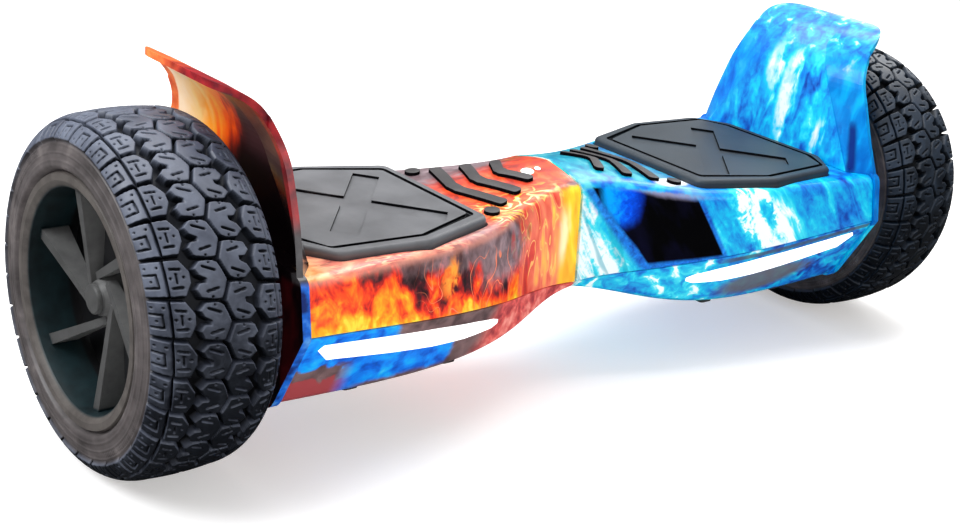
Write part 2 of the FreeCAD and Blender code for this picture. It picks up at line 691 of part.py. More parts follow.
def magnets():
    """The rotor: a steel ring with a magnet bonded to the inside every twelve degrees."""
    steel = ring(283, 309, RIM_WALL_IN_R - SEAT_GAP, 57.5)
    magnet = box(284, 308, -4.6, 4.6, 54.6, 57.3)
    return [steel] + around(magnet, 30)


def bearings():
    """Two ball bearings: outer race, inner race and nine balls each."""
    shapes = []
    for x0 in (TYRE_IN_X + 6.1, WEB_X - BEARING_W):
        x1 = x0 + BEARING_W - 0.2
        middle = (x0 + x1) / 2
        track = Part.makeTorus(14.4, 3.35, V(middle, 0, 0), V(1, 0, 0))
        shapes.append(ring(x0, x1, BEARING_R, 16.6).cut(track))
        shapes.append(ring(x0, x1, 12.2, AXLE_R + SEAT_GAP).cut(track))
        shapes += around(Part.makeSphere(3.2, V(middle, 0, 14.4)), 9)
    return shapes


def axle():
    """The fixed axle: round in the bearings, flatted in the clamp, bored for the motor cable."""
    body = rod(262, 315.5, AXLE_R).fuse(axle_passage(0.0).common(box(222, 263, -20, 20, -20, 20)))
    shoulder = ring(288.2, 300, AXLE_R + 3, AXLE_R - 1)
    return fuse([body, shoulder]).cut(rod(200, 284, 4.6))


def stator():
    """The laminated core with its 27 teeth."""
    x0, x1 = STATOR_X
    core = ring(x0, x1, 30, AXLE_R + 3 + SEAT_GAP)
    tooth = box(x0, x1, -1.6, 1.6, 28, 52)
    shoe = box(x0, x1, -4.4, 4.4, 50.6, 53.2)
    return fuse([core] + around(tooth, 27) + around(shoe, 27))


def windings():
    """One copper coil round each tooth."""
    x0, x1 = STATOR_X
    coil = box(x0 - 3.2, x1 + 3.2, -2.9, 2.9, 34, 49.5).cut(box(x0 - 0.1, x1 + 0.1, -1.7, 1.7, 30, 60))
    return around(coil, 27)


def motor_cable():
    """The motor's phase and sensor cable, from the axle's bore into the deck."""
    bend = tube_along([V(214, 0, 0), V(205, 4, 0.5), V(190, 14, 1), V(176, 18, 0)], 4.2)
    return bend.fuse(rod(212, 282, 4.2))


# ---- electronics --------------------------------------------------------------------------------------------
def sensor_board():
    """The balance sensor board of one half, with a light gate under each plunger."""
    board = box(PLUNGER_X - 15, PLUNGER_X + 15, -36, 36, BOARD_Z, BOARD_Z + 1.6)
    parts = [board, box(PLUNGER_X - 4, PLUNGER_X + 4, -5, 5, BOARD_Z + 1.6, BOARD_Z + 3.0)]
    for y in (-PLUNGER_Y, PLUNGER_Y):
        gate = box(PLUNGER_X - 3.5, PLUNGER_X + 3.5, y - 6, y + 6, BOARD_Z + 1.6, 18.0)
        parts.append(gate.cut(box(PLUNGER_X - 6, PLUNGER_X + 6, y - 2, y + 2, 11.5, 20)))
    return fuse(parts)


def battery_pack():
    """The battery: a block of cells under shrink wrap, rounded along its long edges."""
    block = box(110, 222, -36, 36, -51.5, -15.5)
    edges = [e for e in block.Edges if abs(e.tangentAt(e.FirstParameter).x) > 0.9]
    return block.makeFillet(9.0, edges)


def battery_strap():
    """A bent steel strap that holds the pack up against the frame."""
    outer = box(178, 196, -38.5, 38.5, -53.6, -8)
    strap = outer.cut(box(170, 200, -36.5, 36.5, -52.0, 0))
    feet_pair = front_and_rear(box(178, 196, -51.9, -38, -10, -8))
    return fuse([strap] + feet_pair)


def main_board():
    """The motor controller: board, heat sink bar, capacitors, plugs, and the four posts it hangs from."""
    board = box(112, 214, -37, 37, -24.0, -22.4)
    sink = box(116, 210, -36, -28, -40, -24.0)
    caps = [post(x, 24, -42, -24.0, 6.5) for x in (128.0, 146.0, 164.0)]
    plugs = [box(x, x + 14, 4, 12, -33, -24.0) for x in (120.0, 142.0, 164.0, 186.0)]
    chip = box(150, 164, -16, -2, -25.6, -24.0)
    posts = [post(x, y, -22.35, 21.9, 3.0) for x in (116.0, 209.0) for y in (-32.0, 32.0)]
    return [fuse([board, sink, chip] + caps + plugs)] + posts


def centre_harness():
    """The cable bundle through the pivot tube, with a plug at each end."""
    bundle = rod(-98, 98, 6.0)
    return fuse([bundle, box(98, 108, -8, 8, -5, 5), box(-108, -98, -8, 8, -5, 5)])


# ---- rear face controls -------------------------------------------------------------------------------------
PORT_Y = at_station(PORT_X, "half") + 0.9
BUTTON_R = 6.5
SOCKET_R = 8.0
HINGE = V(PORT_X, PORT_Y + 1.8, PORT_Z + 12.5)


def port_rod(r, y0, y1):
    """A cylinder along Y on the port's axis, from PORT_Y + y0 to PORT_Y + y1."""
    return cross_rod(PORT_X, PORT_Z, PORT_Y + y0, PORT_Y + y1, r)


def with_button_housing(shell):
    """The upper shell with the round housing of the power button moulded in."""
    housing = port_rod(BUTTON_R + 2.5, -11, 0.8)
    return shell.fuse(housing).cut(port_rod(BUTTON_R + 0.1, -9.5, 5))


def with_socket_ring(shell):
    """The upper shell with the ring round the charge socket and the two ears of its cap's hinge."""
    ears = [box(x0, x0 + 2.4, PORT_Y - 6, HINGE.y + 2.2, HINGE.z - 2.4, HINGE.z + 2.2)
            for x0 in (PORT_X - 7.0, PORT_X + 4.6)]
    shell = fuse([shell, port_rod(SOCKET_R + 2.4, -6, 0.2)] + ears)
    shell = shell.cut(port_rod(SOCKET_R + SEAT_GAP, -25, 5))
    return shell.cut(rod(PORT_X - 10, PORT_X + 10, 1.2 + RUN_GAP, HINGE.y, HINGE.z))


def power_button():
    body = port_rod(BUTTON_R, -7, 2.4)
    rim_edges = [e for e in body.Edges if e.BoundBox.YMin > PORT_Y + 2]
    return body.makeFillet(1.0, rim_edges)


def charge_socket():
    """The three-pin charge socket in the rear face of the left half."""
    shell = port_rod(SOCKET_R, -16, 0.2).cut(port_rod(SOCKET_R - 2, -12, 2))
    pins = []
    for angle in (90.0, 210.0, 330.0):
        a = math.radians(angle)
        pins.append(cross_rod(PORT_X + 3 * math.cos(a), PORT_Z + 3 * math.sin(a), PORT_Y - 13, PORT_Y - 3, 0.9))
    return fuse([shell] + pins)


def charge_cap():
    """The dust cap over the socket, hung on a hinge pin along its top edge."""
    disc = port_rod(SOCKET_R + 2.0, 0.3, 2.8)
    tab = box(PORT_X - 3, PORT_X + 3, PORT_Y + 0.8, PORT_Y + 2.8, PORT_Z - SOCKET_R - 5, PORT_Z)
    strap = box(PORT_X - 4.4, PORT_X + 4.4, PORT_Y + 0.6, PORT_Y + 2.8, PORT_Z, HINGE.z)
    barrel = rod(PORT_X - 4.4, PORT_X + 4.4, 2.0, HINGE.y, HINGE.z)
    pin = rod(PORT_X - 7.0, PORT_X + 7.0, 1.2, HINGE.y, HINGE.z)
    return fuse([disc, tab, strap, barrel, pin])


# ---- assembly -----------------------------------------------------------------------------------------------
def both(nodes, name, shape):
    """Adds a right-hand node and its left-hand mirror image."""
    nodes["right_" + name] = shape
    nodes["left_" + name] = mirrored(shape)


def add_shells(nodes):
    outer, middle, inner = hull(0.0), hull(0.6 * SHELL_T), hull(SHELL_T)
    raised, sunk = hull(-2.3), hull(1.0)
    top = upper_shell(outer, inner)
    for pocket in grip_plan(20, 60):
        top = top.cut(pocket.common(outer).cut(sunk))
    left_top = top
    for x, y, r in STATUS_LIGHTS:
        left_top = left_top.cut(post(x, y, 20, 60, r + 0.1))
    nodes["right_upper_shell"] = with_button_housing(top)
    nodes["left_upper_shell"] = mirrored(with_socket_ring(left_top))
    lights = [post(x, y, 30, 60, r).common(outer).cut(inner) for x, y, r in STATUS_LIGHTS]
    nodes["status_lights"] = mirrored(group(lights))
    both(nodes, "grip_strips", group([g.common(raised).cut(sunk) for g in grip_plan(20, 60)]))
    both(nodes, "lower_shell", lower_shell(outer, inner))
    both(nodes, "light_strips", group(light_strips(outer, middle)))
    both(nodes, "led_boards", group(front_and_rear(led_board())))
    both(nodes, "feet", group(feet(outer)))
    both(nodes, "fender", fender())


def add_decks(nodes):
    nodes["right_frame"] = frame(BUSH_R).cut(stop_slot())
    nodes["left_frame"] = mirrored(frame(TUBE_R + SEAT_GAP))
    both(nodes, "axle_clamp", axle_clamp())
    both(nodes, "deck_bolts", group(clamp_bolts() + shell_bolts() + fender_bolts()))
    both(nodes, "foot_pad", foot_pad())
    both(nodes, "pad_plungers", group(plungers()))
    both(nodes, "sensor_board", sensor_board())


def add_wheels(nodes):
    both(nodes, "tyre", tyre())
    both(nodes, "rim", rim())
    both(nodes, "hub_cap", hub_cap())
    both(nodes, "motor_cover", motor_cover())
    both(nodes, "cover_bolts", group(cover_bolts()))
    both(nodes, "magnets", group(magnets()))
    both(nodes, "bearings", group(bearings()))
    both(nodes, "axle", axle())
    both(nodes, "stator", stator())
    both(nodes, "windings", group(windings()))
    both(nodes, "motor_cable", motor_cable())


def add_centre(nodes):
    nodes["pivot_tube"] = pivot_tube()
    nodes["stop_pin"] = stop_pin()
    nodes["pivot_bushes"] = group(pivot_bushes())
    nodes["snap_ring"] = group(snap_ring())
    nodes["centre_harness"] = centre_harness()
    nodes["battery_pack"] = mirrored(battery_pack())
    nodes["battery_strap"] = mirrored(battery_strap())
    nodes["main_board"] = group(main_board())
    nodes["power_button"] = power_button()
    nodes["charge_socket"] = mirrored(charge_socket())
    nodes["charge_cap"] = mirrored(charge_cap())


def main():
    os.makedirs("parts", exist_ok=True)
    nodes = {}
    add_shells(nodes)
    add_decks(nodes)
    add_wheels(nodes)
    add_centre(nodes)
    for name, shape in nodes.items():
        shape.translate(V(0, 0, TYRE_R))
        shape.exportStep("parts/" + name + ".step")
        print(name, len(shape.Solids), shape.isValid(), round(shape.Volume / 1000.0, 1))
    print(len(nodes), "nodes")


main()
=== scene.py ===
import json
import math

import bpy
import numpy as np
from mathutils import Matrix, Vector


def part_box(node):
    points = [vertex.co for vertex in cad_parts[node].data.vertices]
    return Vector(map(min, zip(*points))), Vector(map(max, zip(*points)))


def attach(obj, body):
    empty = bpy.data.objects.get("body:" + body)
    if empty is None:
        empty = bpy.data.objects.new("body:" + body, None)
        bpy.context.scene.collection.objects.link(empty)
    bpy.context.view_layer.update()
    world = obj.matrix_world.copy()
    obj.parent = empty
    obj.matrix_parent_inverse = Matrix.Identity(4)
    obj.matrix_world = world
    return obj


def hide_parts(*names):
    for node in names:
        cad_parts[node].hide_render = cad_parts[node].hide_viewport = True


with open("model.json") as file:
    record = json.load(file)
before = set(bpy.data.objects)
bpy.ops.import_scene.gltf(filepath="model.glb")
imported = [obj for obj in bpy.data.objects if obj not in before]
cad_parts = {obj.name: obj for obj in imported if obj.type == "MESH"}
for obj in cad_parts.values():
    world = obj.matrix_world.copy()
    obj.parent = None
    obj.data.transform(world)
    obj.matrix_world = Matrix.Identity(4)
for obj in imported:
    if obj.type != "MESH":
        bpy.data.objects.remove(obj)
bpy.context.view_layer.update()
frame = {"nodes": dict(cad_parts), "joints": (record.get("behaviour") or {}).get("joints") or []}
NODES = frame["nodes"]

MM = 0.001
AXLE = frame["joints"][0]["pos_m"][2]          # height of the wheels' common axis
TYRE_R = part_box("right_tyre")[1].y
TYRE_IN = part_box("right_tyre")[0].x
TYRE_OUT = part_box("right_tyre")[1].x
FENDER_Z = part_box("right_fender")[1].z - AXLE
PAD_TOP = (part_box("right_foot_pad")[1].z - AXLE) / MM

# The materials work in millimetres from the middle of the axle line.
SEAM_AT_WAIST = -31.0     # height of the line where the shells meet, at the centre
SEAM_RISE = 0.11          # its rise for each millimetre towards the wheel
FENDER_FOOT = 31.0        # height at which a wheel guard leaves the deck
FENDER_HALF = 88.0        # half its width there
FENDER_HALF_TOP = 56.0
FENDER_TAPER = 0.385      # how much narrower it gets for each millimetre upwards
CREASE_HALF = 72.0        # the creases of its side facets: half their spread at the foot
CREASE_HALF_TOP = 20.0
CREASE_TAPER = 0.61
BARREL_R = 64.0           # inner radius of the rim's barrel
RIM_LIP_R = 66.0
# Painted light: the printed shells glow with this share of their own colour, though they are no lamps.
PAINTED_LIGHT_GLOW = 0.14         # share of its own colour that a print gives off
FLOOR_GLOW = 0.42         # the same for the floor, to the camera only


# ---- node graphs -----------------------------------------
class Graph:
    """A material's node tree, with one short call for each kind of node. Lengths are millimetres."""

    def __init__(self, name):
        self.material = bpy.data.materials.new(name)
        self.material.use_nodes = True
        self.tree = self.material.node_tree
        self.tree.nodes.clear()
        self.output = self.tree.nodes.new("ShaderNodeOutputMaterial")
        self.surface = self.tree.nodes.new("ShaderNodeBsdfPrincipled")
        self.tree.links.new(self.surface.outputs[0], self.output.inputs["Surface"])
        coords = self.tree.nodes.new("ShaderNodeTexCoord")
        scaled = self.vector("MULTIPLY", coords.outputs["Object"], (1 / MM, 1 / MM, 1 / MM))
        self.point = self.vector("SUBTRACT", scaled, (0, 0, AXLE / MM))
        self.x, self.y, self.z = self.split(self.point)
        geometry = self.tree.nodes.new("ShaderNodeNewGeometry")
        self.nx, self.ny, self.nz = self.split(geometry.outputs["Normal"])

    def set(self, socket, value):
        if isinstance(value, bpy.types.NodeSocket):
            self.tree.links.new(value, socket)
        elif isinstance(value, tuple) and len(value) == 3 and socket.type == "RGBA":
            socket.default_value = value + (1.0,)
        else:
            socket.default_value = value

    def put(self, **inputs):
        """Sets inputs of the surface shader, by name with underscores for spaces."""
        for name, value in inputs.items():
            self.set(self.surface.inputs[name.replace("_", " ")], value)

    def math(self, operation, a, b=0.0):
        node = self.tree.nodes.new("ShaderNodeMath")
        node.operation = operation
        for socket, value in zip(node.inputs, (a, b)):
            self.set(socket, value)
        return node.outputs[0]

    def add(self, *terms):
        total = terms[0]
        for term in terms[1:]:
            total = self.math("ADD", total, term)
        return total

    def sub(self, a, b):
        return self.math("SUBTRACT", a, b)

    def mul(self, *terms):
        total = terms[0]
        for term in terms[1:]:
            total = self.math("MULTIPLY", total, term)
        return total

    def vector(self, operation, a, b=(0, 0, 0)):
        node = self.tree.nodes.new("ShaderNodeVectorMath")
        node.operation = operation
        self.set(node.inputs[0], a)
        self.set(node.inputs[1], b)
        return node.outputs["Value"] if operation == "LENGTH" else node.outputs[0]

    def split(self, vector):
        node = self.tree.nodes.new("ShaderNodeSeparateXYZ")
        self.set(node.inputs[0], vector)
        return node.outputs[0], node.outputs[1], node.outputs[2]

    def join(self, x, y, z):
        node = self.tree.nodes.new("ShaderNodeCombineXYZ")
        for socket, value in zip(node.inputs, (x, y, z)):
            self.set(socket, value)
        return node.outputs[0]

    def noise(self, vector, size, detail=3.0, rough=0.5, colour=False):
        """Fractal noise between 0 and 1 with features of about this size."""
        node = self.tree.nodes.new("ShaderNodeTexNoise")
        self.set(node.inputs["Vector"], vector)
        node.inputs["Scale"].default_value = 1.0 / size
        node.inputs["Detail"].default_value = detail
        node.inputs["Roughness"].default_value = rough
        return node.outputs["Color" if colour else "Fac"]

    def cells(self, vector, size):
        node = self.tree.nodes.new("ShaderNodeTexVoronoi")
        self.set(node.inputs["Vector"], vector)
        node.inputs["Scale"].default_value = 1.0 / size
        return node.outputs["Distance"]

    def warped(self, vector, size, amount):
        """The vector pushed about by noise."""
        push = self.vector("SUBTRACT", self.noise(vector, size, 2.0, colour=True), (0.5, 0.5, 0.5))
        return self.vector("ADD", vector, self.vector("MULTIPLY", push, (amount, amount, amount)))

    def step(self, value, low, high):
        """0 below low and 1 above high, smooth between; falls if low is above high."""
        node = self.tree.nodes.new("ShaderNodeMapRange")
        node.interpolation_type = "SMOOTHSTEP"
        self.set(node.inputs["Value"], value)
        rising = low < high
        node.inputs["From Min"].default_value = min(low, high)
        node.inputs["From Max"].default_value = max(low, high)
        node.inputs["To Min"].default_value = 0.0 if rising else 1.0
        node.inputs["To Max"].default_value = 1.0 if rising else 0.0
        return node.outputs[0]

    def sway(self, noise, amount):
        """Noise swung about zero, by half the amount each way."""
        return self.mul(self.sub(noise, 0.5), amount)

    def band(self, value, low, high, soft):
        """1 between low and high, 0 outside, with soft edges."""
        rise = self.step(value, low - soft, low + soft)
        return self.mul(rise, self.step(value, high + soft, high - soft))

    def attribute(self, name):
        """A value stored on the mesh's vertices."""
        node = self.tree.nodes.new("ShaderNodeAttribute")
        node.attribute_name = name
        return node.outputs["Fac"]

    def seen_by(self, kind):
        """1 for rays of this kind: camera, glossy or diffuse."""
        return self.tree.nodes.new("ShaderNodeLightPath").outputs["Is %s Ray" % kind.title()]

    def hypot(self, a, b):
        return self.math("SQRT", self.add(self.mul(a, a), self.mul(b, b)))

    def radius(self):
        """Distance from the axle line."""
        return self.hypot(self.y, self.z)

    def blob(self, u, v, centre, radii, soft=0.25):
        """A soft-edged ellipse in two coordinates."""
        du = self.mul(self.sub(u, centre[0]), 1.0 / radii[0])
        dv = self.mul(self.sub(v, centre[1]), 1.0 / radii[1])
        return self.step(self.hypot(du, dv), 1.0 + soft, 1.0 - soft)

    def ramp(self, value, stops):
        """A colour ramp from (position, colour) stops."""
        node = self.tree.nodes.new("ShaderNodeValToRGB")
        elements = node.color_ramp.elements
        while len(elements) < len(stops):
            elements.new(0.5)
        for element, (position, colour) in zip(elements, stops):
            element.position = position
            element.color = colour + (1.0,)
        self.set(node.inputs[0], value)
        return node.outputs["Color"]

    def mix(self, factor, a, b):
        node = self.tree.nodes.new("ShaderNodeMix")
        node.data_type = "RGBA"
        self.set(node.inputs["Factor"], factor)
        self.set(node.inputs[6], a)
        self.set(node.inputs[7], b)
        return node.outputs[2]

    def mix_value(self, factor, a, b):
        return self.add(self.mul(self.sub(1.0, factor), a), self.mul(factor, b))

    def bump(self, height, distance, strength=1.0):
        node = self.tree.nodes.new("ShaderNodeBump")
        node.inputs["Strength"].default_value = strength
        node.inputs["Distance"].default_value = distance * MM
        self.set(node.inputs["Height"], height)
        self.put(Normal=node.outputs[0])


# ---- painted plastic -------------------------------------
FLAME = [
    (0.00, (0.010, 0.002, 0.004)), (0.14, (0.060, 0.006, 0.012)), (0.28, (0.33, 0.008, 0.006)),
    (0.42, (0.80, 0.020, 0.002)), (0.56, (0.95, 0.085, 0.001)), (0.70, (0.98, 0.23, 0.001)),
    (0.86, (0.98, 0.44, 0.003)), (1.00, (1.00, 0.70, 0.04)),
]
WATER = [
    (0.00, (0.001, 0.012, 0.13)), (0.17, (0.000, 0.055, 0.38)), (0.34, (0.000, 0.16, 0.60)),
    (0.50, (0.000, 0.32, 0.70)), (0.64, (0.000, 0.50, 0.76)), (0.80, (0.05, 0.70, 0.82)),
    (0.93, (0.82, 0.92, 0.92)),
]
SMOKE = (0.17, 0.105, 0.115)


def gloss(graph, colour, shine=1.0):
    """A printed gloss shell under clear lacquer, with a trace of orange peel and of handling marks. It also
    glows with a share of its own colour, which is painted light.
    """
    marks = graph.noise(graph.point, 9.0, 5.0, 0.65)
    # Painted light: the emission below makes the paint glow with its own colour.
    graph.put(Base_Color=colour, Roughness=graph.add(0.26, graph.mul(marks, 0.16)),
              Specular_IOR_Level=graph.mul(0.3, shine), Coat_Weight=graph.mul(0.42, shine),
              Coat_Roughness=graph.add(0.05, graph.mul(marks, 0.10)),
              Emission_Color=colour, Emission_Strength=PAINTED_LIGHT_GLOW)
    graph.bump(graph.noise(graph.point, 2.2, 2.0), 0.012, 0.35)
    return graph.material


def seam_height(graph):
    """Height above the line where the shells meet. The seam rises steadily from the waist to the wheel."""
    along = graph.math("ABSOLUTE", graph.x)
    return along, graph.sub(graph.z, graph.add(SEAM_AT_WAIST, graph.mul(along, SEAM_RISE)))


def contours(graph, value, count, width):
    """Thin lines along evenly spaced levels of a value between 0 and 1."""
    return graph.step(graph.math("PINGPONG", graph.mul(value, count), 0.5), width, width * 0.3)


def smoke_cloud(g, along, h, licks, fine):
    """Where the smoke lies on the fire half, and its colour."""
    drift = g.add(along, g.sway(licks, 46.0))
    rise = g.add(h, g.sway(fine, 10.0), g.sway(licks, -16.0))
    cloud = g.math("MAXIMUM", g.blob(drift, rise, (92.0, 34.0), (28.0, 20.0), 0.35),
                   g.mul(g.blob(drift, rise, (140.0, 37.0), (48.0, 8.0), 0.5), 0.75))
    soot = g.ramp(g.add(g.mul(licks, 0.7), g.mul(fine, 0.3)), [
        (0.32, (0.075, 0.030, 0.034)), (0.46, SMOKE), (0.64, (0.36, 0.25, 0.27))])
    return g.mul(cloud, 0.93), soot


def fire_face(g, along, h):
    """The front of the fire half: flames above the seam, a smoke cloud, streaks by the centre line."""
    flat = g.join(along, g.mul(g.y, 0.7), g.mul(h, 0.66))
    swirl = g.warped(flat, 24.0, 46.0)
    licks = g.noise(swirl, 15.0, 3.5, 0.52)
    fine = g.noise(g.warped(flat, 10.0, 12.0), 5.0, 2.0, 0.5)
    heat = g.add(0.85, g.mul(h, -0.0150), g.sway(licks, 1.75), g.sway(fine, 0.5))
    middle = g.band(along, 60.0, 184.0, 14.0)
    heat = g.sub(heat, g.mul(middle, g.step(h, -8.0, 12.0), 0.29))
    face = g.ramp(heat, FLAME)
    cloud, soot = smoke_cloud(g, along, h, licks, fine)
    face = g.mix(cloud, face, soot)
    tongue_at = g.add(along, g.sway(fine, 16.0), g.mul(h, 0.25))
    tongue = g.blob(tongue_at, h, (150.0, 26.0), (6.0, 11.0), 0.5)
    face = g.mix(tongue, face, g.ramp(fine, [(0.3, (1.0, 0.12, 0.01)), (0.6, (1.0, 0.36, 0.03))]))
    bend = g.noise(g.warped(flat, 34.0, 44.0), 26.0, 0.5)
    rims = g.mul(contours(g, bend, 7.0, 0.055), g.band(along, 50.0, 165.0, 14.0), g.step(h, 42.0, 30.0))
    face = g.mix(g.mul(rims, 0.9), face, (1.0, 0.24, 0.10))
    leaning = g.sub(along, g.mul(h, 0.12))
    tall = g.warped(g.join(leaning, g.mul(g.y, 0.5), g.mul(h, 0.30)), 26.0, 34.0)
    streaks = g.noise(tall, 13.0, 2.0)
    hot = g.add(0.45, g.sway(streaks, 1.5), g.mul(g.step(along, 30.0, 6.0), 0.28))
    strands = g.ramp(hot, [
        (0.10, (0.30, 0.02, 0.02)), (0.28, (0.76, 0.05, 0.03)), (0.50, (0.92, 0.20, 0.11)),
        (0.66, (1.0, 0.42, 0.10)), (0.82, (1.0, 0.70, 0.05)), (0.98, (1.0, 0.94, 0.42))])
    threads = g.mul(contours(g, streaks, 7.0, 0.10), g.step(h, 2.0, 14.0))
    strands = g.mix(g.mul(threads, 0.75), strands, (1.0, 0.62, 0.16))
    from_waist = g.add(along, g.sway(streaks, 70.0), g.sway(licks, 40.0))
    face = g.mix(g.step(from_waist, 76.0, 48.0), face, strands)
    edge = g.add(along, g.sway(streaks, 16.0))
    blaze = g.band(edge, -4.0, 16.0, 3.0)
    glare = g.mul(g.band(edge, 11.0, 17.0, 3.0), g.band(h, 18.0, 50.0, 10.0))
    gold = g.ramp(streaks, [(0.35, (0.94, 0.44, 0.0)), (0.6, (0.96, 0.72, 0.02))])
    face = g.mix(g.mul(blaze, 0.85), face, gold)
    return g.mix(g.mul(glare, 0.75), face, (1.0, 0.97, 0.66))


def fire_top(g, along):
    """The top of the fire half: pink by the pad, partly painted highlight, coral and yellow swirls by the
    chevrons, and a painted grey-pink reflection of the white room towards the back.
    """
    swirl = g.warped(g.join(g.x, g.mul(g.y, 1.5), g.z), 26.0, 40.0)
    flow = g.noise(swirl, 14.0, 3.0, 0.5)
    front = g.step(g.y, 14.0, -34.0)
    coral = g.ramp(g.add(g.mul(flow, 0.75), g.mul(front, 0.10)), [
        (0.20, (0.14, 0.03, 0.03)), (0.34, (0.42, 0.035, 0.020)),
        (0.46, (0.74, 0.07, 0.02)), (0.60, (0.88, 0.18, 0.06))])
    curl = g.noise(g.warped(g.join(g.mul(g.x, 0.7), g.mul(g.y, 1.5), g.z), 30.0, 60.0), 26.0, 1.0)
    near_edge = g.step(g.add(g.y, g.sway(flow, 20.0)), -22.0, -34.0)
    bands = g.mul(contours(g, curl, 8.0, 0.24), near_edge)
    bands = g.mul(bands, g.step(along, 8.0, 24.0), g.step(along, 96.0, 84.0))
    coral = g.mix(bands, coral, g.ramp(flow, [(0.4, (1.0, 0.46, 0.05)), (0.62, (1.0, 0.84, 0.40))]))
    # The pink by the pad is print, lightened as a painted highlight where the shoulder catches the light.
    rose = g.ramp(flow, [(0.25, (0.20, 0.06, 0.07)), (0.42, (0.54, 0.13, 0.10)), (0.56, (0.84, 0.25, 0.18)),
                         (0.72, (1.0, 0.43, 0.27))])
    drawn_out = g.warped(g.join(g.mul(g.x, 0.35), g.mul(g.y, 2.0), g.z), 20.0, 12.0)
    threads = g.mul(contours(g, g.noise(drawn_out, 14.0), 7.0, 0.14), g.step(g.y, 0.0, -20.0))
    rose = g.mix(g.mul(threads, 0.8), rose, (1.0, 0.48, 0.28))
    corner = g.mul(g.step(along, 228.0, 250.0), g.step(g.y, -50.0, -66.0))
    amber = g.ramp(flow, [(0.35, (1.0, 0.30, 0.03)), (0.6, (1.0, 0.72, 0.28))])
    rose = g.mix(g.mul(corner, 0.8), rose, amber)
    top = g.mix(g.step(g.add(along, g.mul(flow, 20.0)), 122.0, 96.0), rose, coral)
    # Painted reflection: the back of the top is made grey-pink, standing in for the sheen of the white
    # room.
    painted_rear_sheen = g.ramp(g.noise(swirl, 16.0, 2.0), [(0.35, (0.12, 0.075, 0.085)), (0.65, (0.26, 0.19, 0.21))])
    backwards = g.add(g.y, g.sway(flow, 40.0), g.mul(g.step(along, 30.0, 0.0), -20.0))
    behind = g.step(backwards, 10.0, 28.0)
    top = g.mix(behind, top, painted_rear_sheen)
    smudge = g.blob(along, g.y, (3.0, -37.0), (11.0, 9.0), 0.5)
    return g.mix(g.mul(smudge, 0.92), top, (0.075, 0.028, 0.042))


def fire_shell():
    """Left upper shell."""
    g = Graph("fire_shell")
    along, h = seam_height(g)
    ragged = g.noise(g.warped(g.point, 20.0, 20.0), 12.0, 3.0)
    face = fire_face(g, along, h)
    # Painted highlight: a pink sheen on the shoulders, where the surface turns upwards, stands in for the
    # lights' reflection.
    painted_shoulder_highlight = g.mul(g.step(g.nz, 0.12, 0.5), g.step(along, 60.0, 90.0))
    face = g.mix(g.mul(painted_shoulder_highlight, 0.5), face, (0.88, 0.34, 0.25))
    brow = g.add(g.nz, g.sway(ragged, 0.6), g.mul(g.step(along, 70.0, 30.0), -0.10))
    colour = g.mix(g.step(brow, 0.40, 0.86), face, fire_top(g, along))
    drift = g.add(along, g.sway(ragged, 40.0))
    haze = g.mul(g.blob(drift, g.y, (104.0, -68.0), (34.0, 12.0), 0.5), g.step(g.nz, 0.3, 0.8))
    return gloss(g, g.mix(g.mul(haze, 0.6), colour, (0.23, 0.15, 0.16)))


def slanted(graph, value, at_zero, slope):
    """How far value lies past a line that leans with height: value - (at_zero + slope * z)."""
    return graph.sub(value, graph.add(at_zero, graph.mul(graph.z, slope)))


